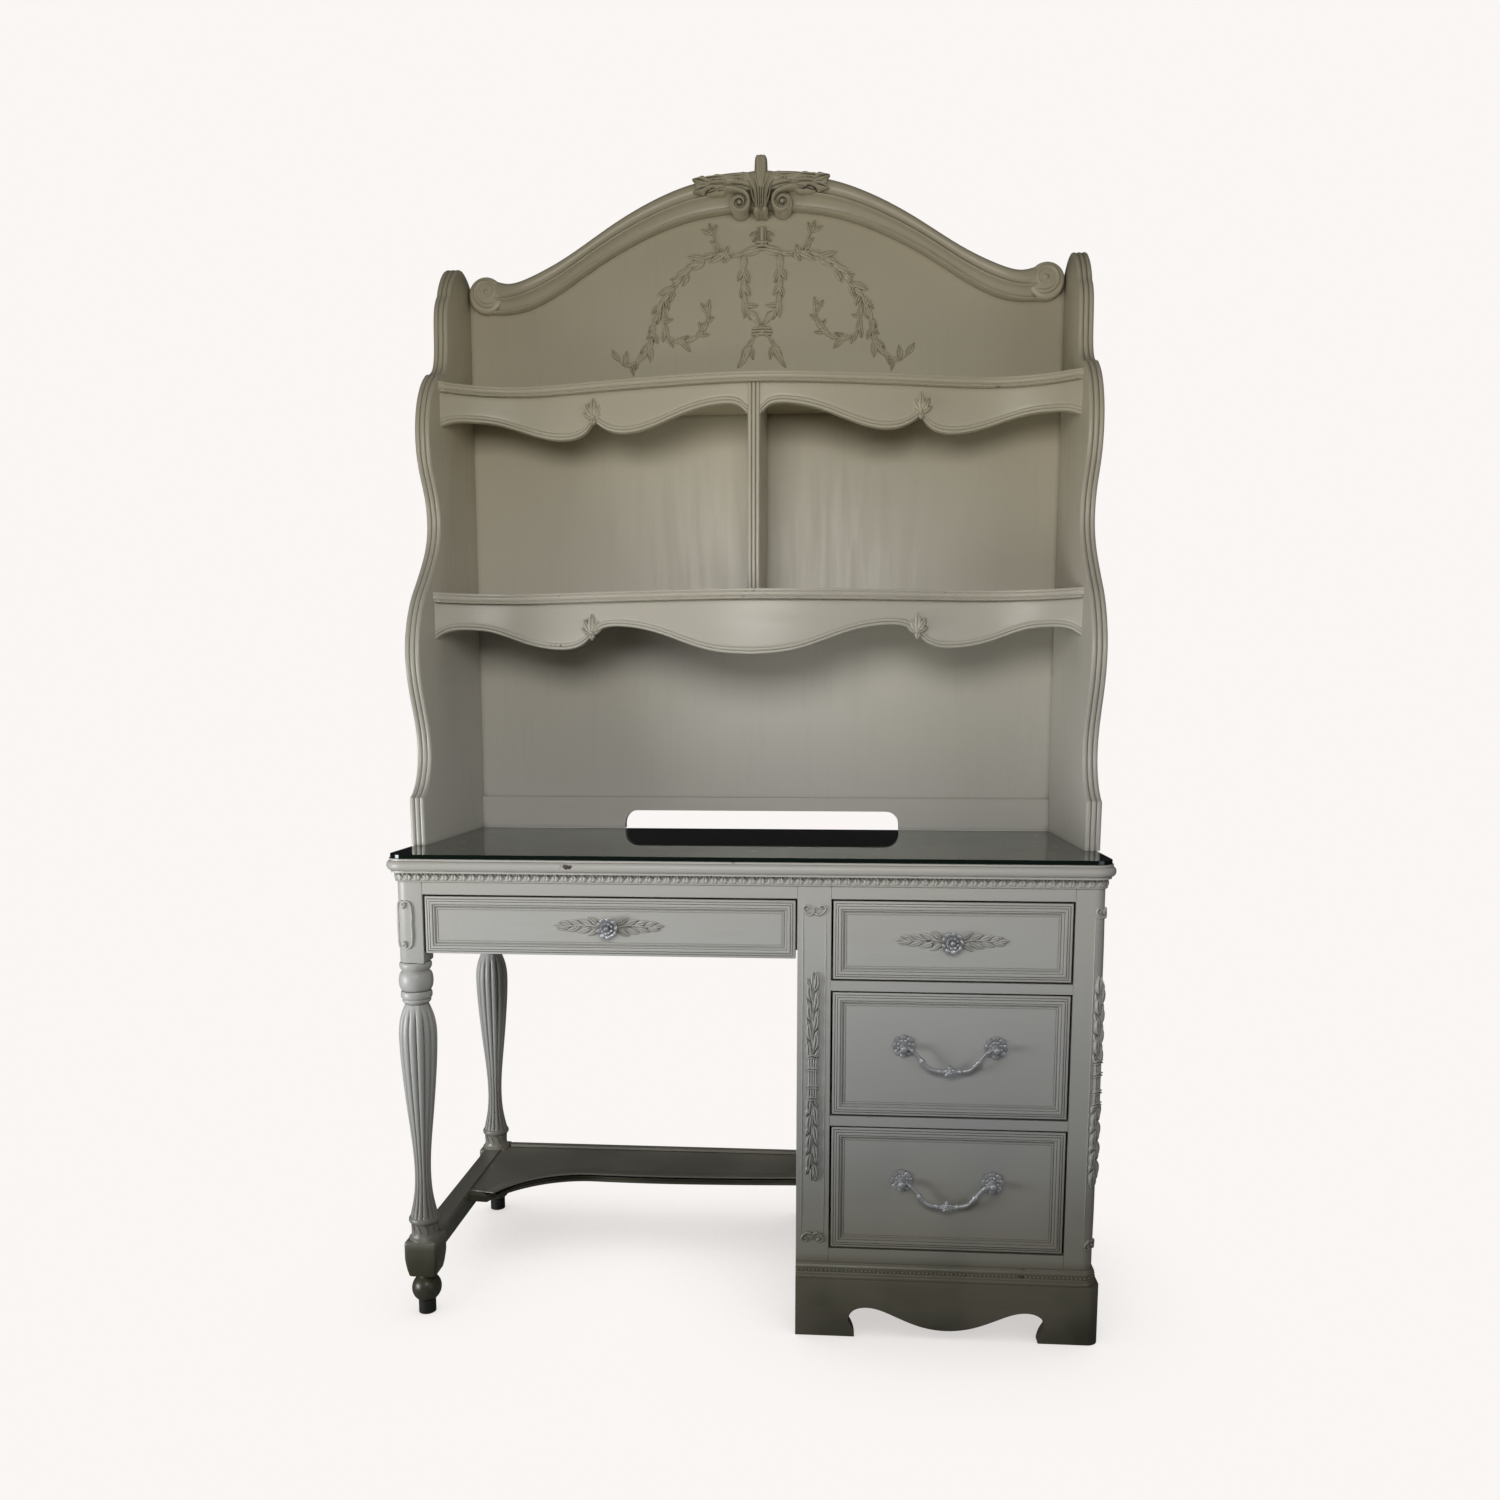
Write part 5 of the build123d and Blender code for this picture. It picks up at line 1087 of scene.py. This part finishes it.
# Leaves of a spray, beside its knob: x, z, angle, length, width, bend.
SPRAY_LEAVES = [
    (16, 3, 48, 20, 9, -20), (16, -3, -42, 20, 9, 20), (26, 2, 34, 24, 10, -26), (28, -1, -32, 23, 10, 26),
    (42, 2, 30, 23, 10, -26), (45, 0, -26, 23, 9, 24), (58, 2, 26, 20, 9, -22), (62, 0, -20, 20, 8, 20),
    (70, 1, 8, 17, 8, -12)]
for n in ("centre", "top"):
    low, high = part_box(f"{n}_drawer_knob")
    x, z = (low.x + high.x) / 2, (low.z + high.z) / 2
    cast = Build()
    fixing(cast, x, z)
    turned_y(cast, x, z, field_y, KNOB_NECK)
    flower(cast, x, z, field_y - 10 * MM, 17, 9, 10.6)
    cast.piece(f"{n}_drawer_flower_knob", f"{n}_drawer", pewter, f"{n}_drawer_knob", sharp=50)
    spray = Build()
    x, z = x / MM, z / MM
    for sign in (1, -1):
        def place(a, b, h, sign=sign, x=x):
            return flat(field_y)(x + sign * (a - x), b, h)

        stalk = [(x + 14, z), (x + 34, z + 3), (x + 60, z + 1), (x + 82, z + 2)]
        stem(spray, place, stalk, 3.4, 3, (1.2, 0.5))
        for dx, dz, angle, length, width, bend in SPRAY_LEAVES:
            leaf(spray, place, x + dx, z + dz, angle, length, width, 4.4, bend, size=(10, 7))
    spray.piece(f"{n}_drawer_leaf_spray", f"{n}_drawer", carved, f"{n}_drawer_spray", sharp=50)

# Right half of a bail from the middle of its grip to near its pivot, measured from the pivots' line.
BAIL_DROP = 34
BAIL_LINE = [
    (0, -BAIL_DROP), (14, -34.2), (24, -33.4), (32, -30.4), (38, -25), (43, -19), (48, -12.6), (53, -7),
    (58, -2.8), (62, -0.6)]
BAIL_COLLARS = [(43, 2.3, 1.9), (39, 1.2, 1.2), (15.5, 1.6, 1.3)]    # where, how much thicker, how wide
BAIL_LEAVES = [(-90, 11.5, 7), (-125, 13.5, 7), (-55, 13.5, 7), (-158, 17, 7.5), (-22, 17, 7.5), (90, 7, 8)]
POST_INSET = 18                       # a post's axis from the box round both posts
PIN, PIN_RADIUS = 8, 1.9              # the thin end of a bail
for n in ("middle", "bottom"):
    low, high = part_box(f"{n}_drawer_pull_posts")
    z = (low.z + high.z) / 2
    proud = (field_y - low.y) / MM
    cast = Build()
    for x in (low.x + POST_INSET * MM, high.x - POST_INSET * MM):
        fixing(cast, x, z)
        flower(cast, x, z, field_y, 18, 8, 6.4)
        turned_y(cast, x, z, field_y, [(7.0, 3), (6.2, 6.6), (5.2, 8), (5.5, 9.5), (5.5, proud - 3.4),
                                       (4.8, proud - 1.4), (2.6, proud - 0.3), (0.4, proud)])
    cast.piece(f"{n}_drawer_rosettes", f"{n}_drawer", pewter, f"{n}_drawer_pull_posts", sharp=50)

    low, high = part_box(f"{n}_drawer_bail")
    x, pivot_y = (low.x + high.x) / 2, (low.y + high.y) / 2
    reach = (high.x - low.x) / 2 / MM
    half = spline([*BAIL_LINE, (reach, 0)], 44)
    line = np.vstack([half[:0:-1] * (-1, 1), half])
    out = np.abs(line[:, 0])
    radius = 2.5 + 0.9 * np.exp(-((out - 24) / 12) ** 2)
    radius = np.where(out > reach - PIN, PIN_RADIUS, radius)
    for at, more, wide in (*BAIL_COLLARS, (reach - 10.5, 1.0, 1.6)):
        radius += more * np.exp(-((out - at) / wide) ** 2) * (out < reach - PIN)
    handle = Build()
    handle.rod(np.c_[x + line[:, 0] * MM, np.full(len(line), pivot_y), z + line[:, 1] * MM], radius * MM, 14)
    for face in (-1, 1):
        def place(a, b, h, face=face, y=pivot_y):
            return np.stack([a * MM, y + face * (h + 1.2) * MM, b * MM], axis=-1)

        shell = (x / MM, z / MM - BAIL_DROP)
        for angle, length, width in BAIL_LEAVES:
            leaf(handle, place, shell[0], shell[1] + 2.4, angle, length, width, 2.8, size=(10, 7))
        knob_of(handle, place, shell[0], shell[1] + 2, 3, 2.8, 14)
    handle.piece(f"{n}_drawer_bail_cast", f"{n}_bail", pewter, f"{n}_drawer_bail", sharp=50)

# ---------------------------------------------------------------- carved trim on the posts
HUSK_PAIRS, HUSK_PITCH = 8, 15.7


def vine(build, place, x):
    """A long hanging ornament: husks pointing up, a ribbon-bound shaft, husks pointing down."""
    for up, start in ((1, 452), (-1, 390)):
        stem(build, place, [(x, start), (x, start + up * 62), (x, start + up * 124)], 5, 3, (1, 0.7), 30)
        for k in range(HUSK_PAIRS):
            z = start + up * (k * HUSK_PITCH - 2)
            lean = 1 if k % 2 else -1
            leaf(build, place, x + lean * 2.4, z, up * (90 - lean * 20), 30, 10.5, 7.2, up * lean * 36,
                 size=(13, 9))
            leaf(build, place, x - lean * 3, z + up * 3, up * (90 + lean * 36), 17, 8, 5.4, -up * lean * 34,
                 size=(9, 7))
        leaf(build, place, x, start + up * 114, up * 90, 22, 9, 6, size=(9, 7))
    for dx in (-6, -2, 2, 6):
        stem(build, place, [(x + dx, 386), (x + dx * 0.85, 420), (x + dx, 456)], 4.2, 4.6, count=12)
    for z in (456.5, 452.5, 436.5, 432.5, 408.5, 404.5, 389.5, 385.5):
        stem(build, place, [(x - 9.6, z - 0.8), (x, z + 1), (x + 9.6, z - 0.8)], 3.4, 7, count=10)


def double_scroll(build, place, x, z, half, up):
    """Two C-scrolls joined at a point, like a bracket."""
    for side in (half, -half):
        points = [(x, z - up * 4)]
        points += [(x + side * share, z + up * rise) for share, rise in
                   ((0.35, -7.5), (0.75, -4), (0.95, 3), (0.62, 7), (0.42, 3.4), (0.60, 1.2))]
        stem(build, place, points, 3.6, 3.8, (1.15, 0.7), 34)
        knob_of(build, place, x + side * 0.58, z + up * 2.2, 2.2, 3.8, 10)
    leaf(build, place, x, z - up * 3, 90 * up, 8, 4.5, 4, size=(7, 5))


def post_ornament(build, place, x, vine_x, half, line):
    """A vine between two scrolls, framed by two fine upright bead lines."""
    vine(build, place, vine_x)
    double_scroll(build, place, x, SCROLL_TOP, half, 1)
    double_scroll(build, place, x, SCROLL_FOOT, half, -1)
    z0, z1 = SCROLL_FOOT + 6, SCROLL_TOP - 5
    for dx in (line, -line):
        stem(build, place, [(x + dx, z0), (x + dx, (z0 + z1) / 2), (x + dx, z1)], 1.8, 1.2, count=12, sides=5)


SCROLL_TOP, SCROLL_FOOT = 686, 160
CURVE_BACK, CURVE_SIDE = -0.18, 0.5   # where the plan curves round the corner post and leg head begin or end
trim = Build()
stile_low, stile_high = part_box("pedestal_left_stile")
stile_x = (stile_low.x + stile_high.x) / 2 / MM
post_ornament(trim, flat(face_y), stile_x, stile_x - 1.5, 18, 17.5)

on_corner = around(dense(case_plan(CURVE_SIDE, case_right, CURVE_BACK, left=False), 2 * MM))
corner_mid = (CURVE_BACK - (face_y + CORNER) + CORNER * math.pi / 4) / MM
post_ornament(trim, on_corner, corner_mid, corner_mid, 12, 12.5)

on_head = around(dense(case_plan(case_left, -CURVE_SIDE, CURVE_BACK, right=False), 2 * MM))
head_mid = (-CURVE_SIDE - (case_left + CORNER)) / MM + 5
for side in (1, -1):
    for up, z in ((1, 685), (-1, 623)):
        line = [(13, 654), (13, z - up * 4), (9.5, z + up * 4.6), (3, z + up * 6.4), (-3, z + up * 2),
                (0.5, z - up * 4)]
        stem(trim, on_head, [(head_mid + side * dx, z) for dx, z in line], 4, 3.4, (1.0, 0.8), 40)
    stem(trim, on_head, [(head_mid + side * 13, z) for z in (647, 654, 661)], 4, 3.4, count=8)
for z in (683.5, 624.5):
    knob_of(trim, on_head, head_mid, z, 4.2, 4.4, 16)
trim.piece("post_carvings_carved", ROOT, carved, "post_carvings", sharp=50)

# ---------------------------------------------------------------- stage, lights and camera
# A round bowl of pale paper: a flat floor that curves up into a wall on every side.
FLOOR_RADIUS, BEND, WALL, SIDES = 6.0, 2.5, (8.6, 9.0), 64
BOWL = [(FLOOR_RADIUS, 0.0)]
BOWL += [(FLOOR_RADIUS + BEND * math.sin(a), BEND * (1 - math.cos(a))) for a in np.linspace(0.1, 1.5, 12)]
BOWL.append(WALL)
floor = bpy.data.objects.new("studio_floor", bpy.data.meshes.new("studio_floor"))
bpy.context.scene.collection.objects.link(floor)
points = [(0.0, 0.0, 0.0)] + [(r * math.cos(a), r * math.sin(a), z) for r, z in BOWL for a in circle(SIDES)]
faces = [(0, 1 + i, 1 + (i + 1) % SIDES) for i in range(SIDES)]
for first in range(1, 1 + (len(BOWL) - 1) * SIDES, SIDES):
    faces += [(first + i, first + SIDES + i, first + SIDES + (i + 1) % SIDES, first + (i + 1) % SIDES)
              for i in range(SIDES)]
floor.data.from_pydata(points, [], faces)
floor.data.shade_smooth()
paper = Paint("studio_paper")
tooth = paper.noise(30, 4)
paper.set(Base_Color=paper.blend(paper.ramp(tooth, 0.3, 0.7), (0.36, 0.36, 0.355), (0.35, 0.35, 0.345)),
          Roughness=0.9, Specular_IOR_Level=0.2)
# The camera sees the paper at a set pale tone, with a painted shadow near the object. The lights see grey
# paper.
shade = paper.ramp(paper.recess(0.30), 0.10, 0.90, 1.0, 0.62)
tone = paper.blend(1.0, (0, 0, 0), (0.955, 0.925, 0.905))
glow = paper.node("Emission", {"Color": tone, "Strength": shade})
seen = paper.node("LightPath").outputs["Is Camera Ray"]
lit = paper.node("MixShader", {0: seen, 1: paper.shader.outputs[0], 2: glow.outputs[0]})
paper.tree.links.new(lit.outputs[0], paper.tree.nodes["Material Output"].inputs["Surface"])
floor.data.materials.append(paper.material)

world = bpy.data.worlds.new("studio")
world.use_nodes = True
world.node_tree.nodes["Background"].inputs[0].default_value = (0.95, 0.97, 1.0, 1.0)
world.node_tree.nodes["Background"].inputs[1].default_value = 0.09
bpy.context.scene.world = world


def softbox(name, place, target, size, power, colour, spread=180, glossy=True):
    """A rectangular soft light that faces its target."""
    data = bpy.data.lights.new(name, "AREA")
    data.shape, data.size, data.size_y = "RECTANGLE", *size
    data.energy, data.color, data.spread = power, colour, math.radians(spread)
    obj = bpy.data.objects.new(name, data)
    bpy.context.scene.collection.objects.link(obj)
    obj.location = place
    obj.rotation_euler = (Vector(target) - Vector(place)).to_track_quat("-Z", "Y").to_euler()
    obj.visible_camera, obj.visible_glossy = False, glossy


softbox("key", (-0.05, -1.75, 1.48), (0.02, 0, 1.20), (0.9, 0.5), 9.2, (1.0, 0.99, 0.97), 150)
softbox("left_window", (-2.2, -1.2, 0.50), (-0.45, 0.1, 0.42), (0.9, 0.7), 6.2, (0.95, 0.975, 1.0), 70)
softbox("right_fill", (2.1, -2.0, 1.0), (0.45, -0.1, 0.55), (1.3, 1.3), 7.8, (0.98, 0.99, 1.0))
softbox("back_fill", (0.9, 3.0, 1.7), (0, 0, 0.9), (2.0, 2.0), 15, (1.0, 0.99, 0.97), glossy=False)

lens = bpy.data.cameras.new("camera")
lens.sensor_width, lens.lens = 36.0, 28.32     # solved, with the shift and the place, from the photo's edges
lens.shift_x, lens.shift_y = 0.003, 0.0743
camera = bpy.data.objects.new("camera", lens)
bpy.context.scene.collection.objects.link(camera)
camera.location = (0.1382, -2.0141, 0.9837)
DOWN, TURN = 7.102, 4.293             # degrees below level, and to the left
camera.rotation_euler = (math.radians(90 - DOWN), 0, math.radians(TURN))
bpy.context.scene.camera = camera
bpy.context.scene.view_settings.view_transform = "Standard"
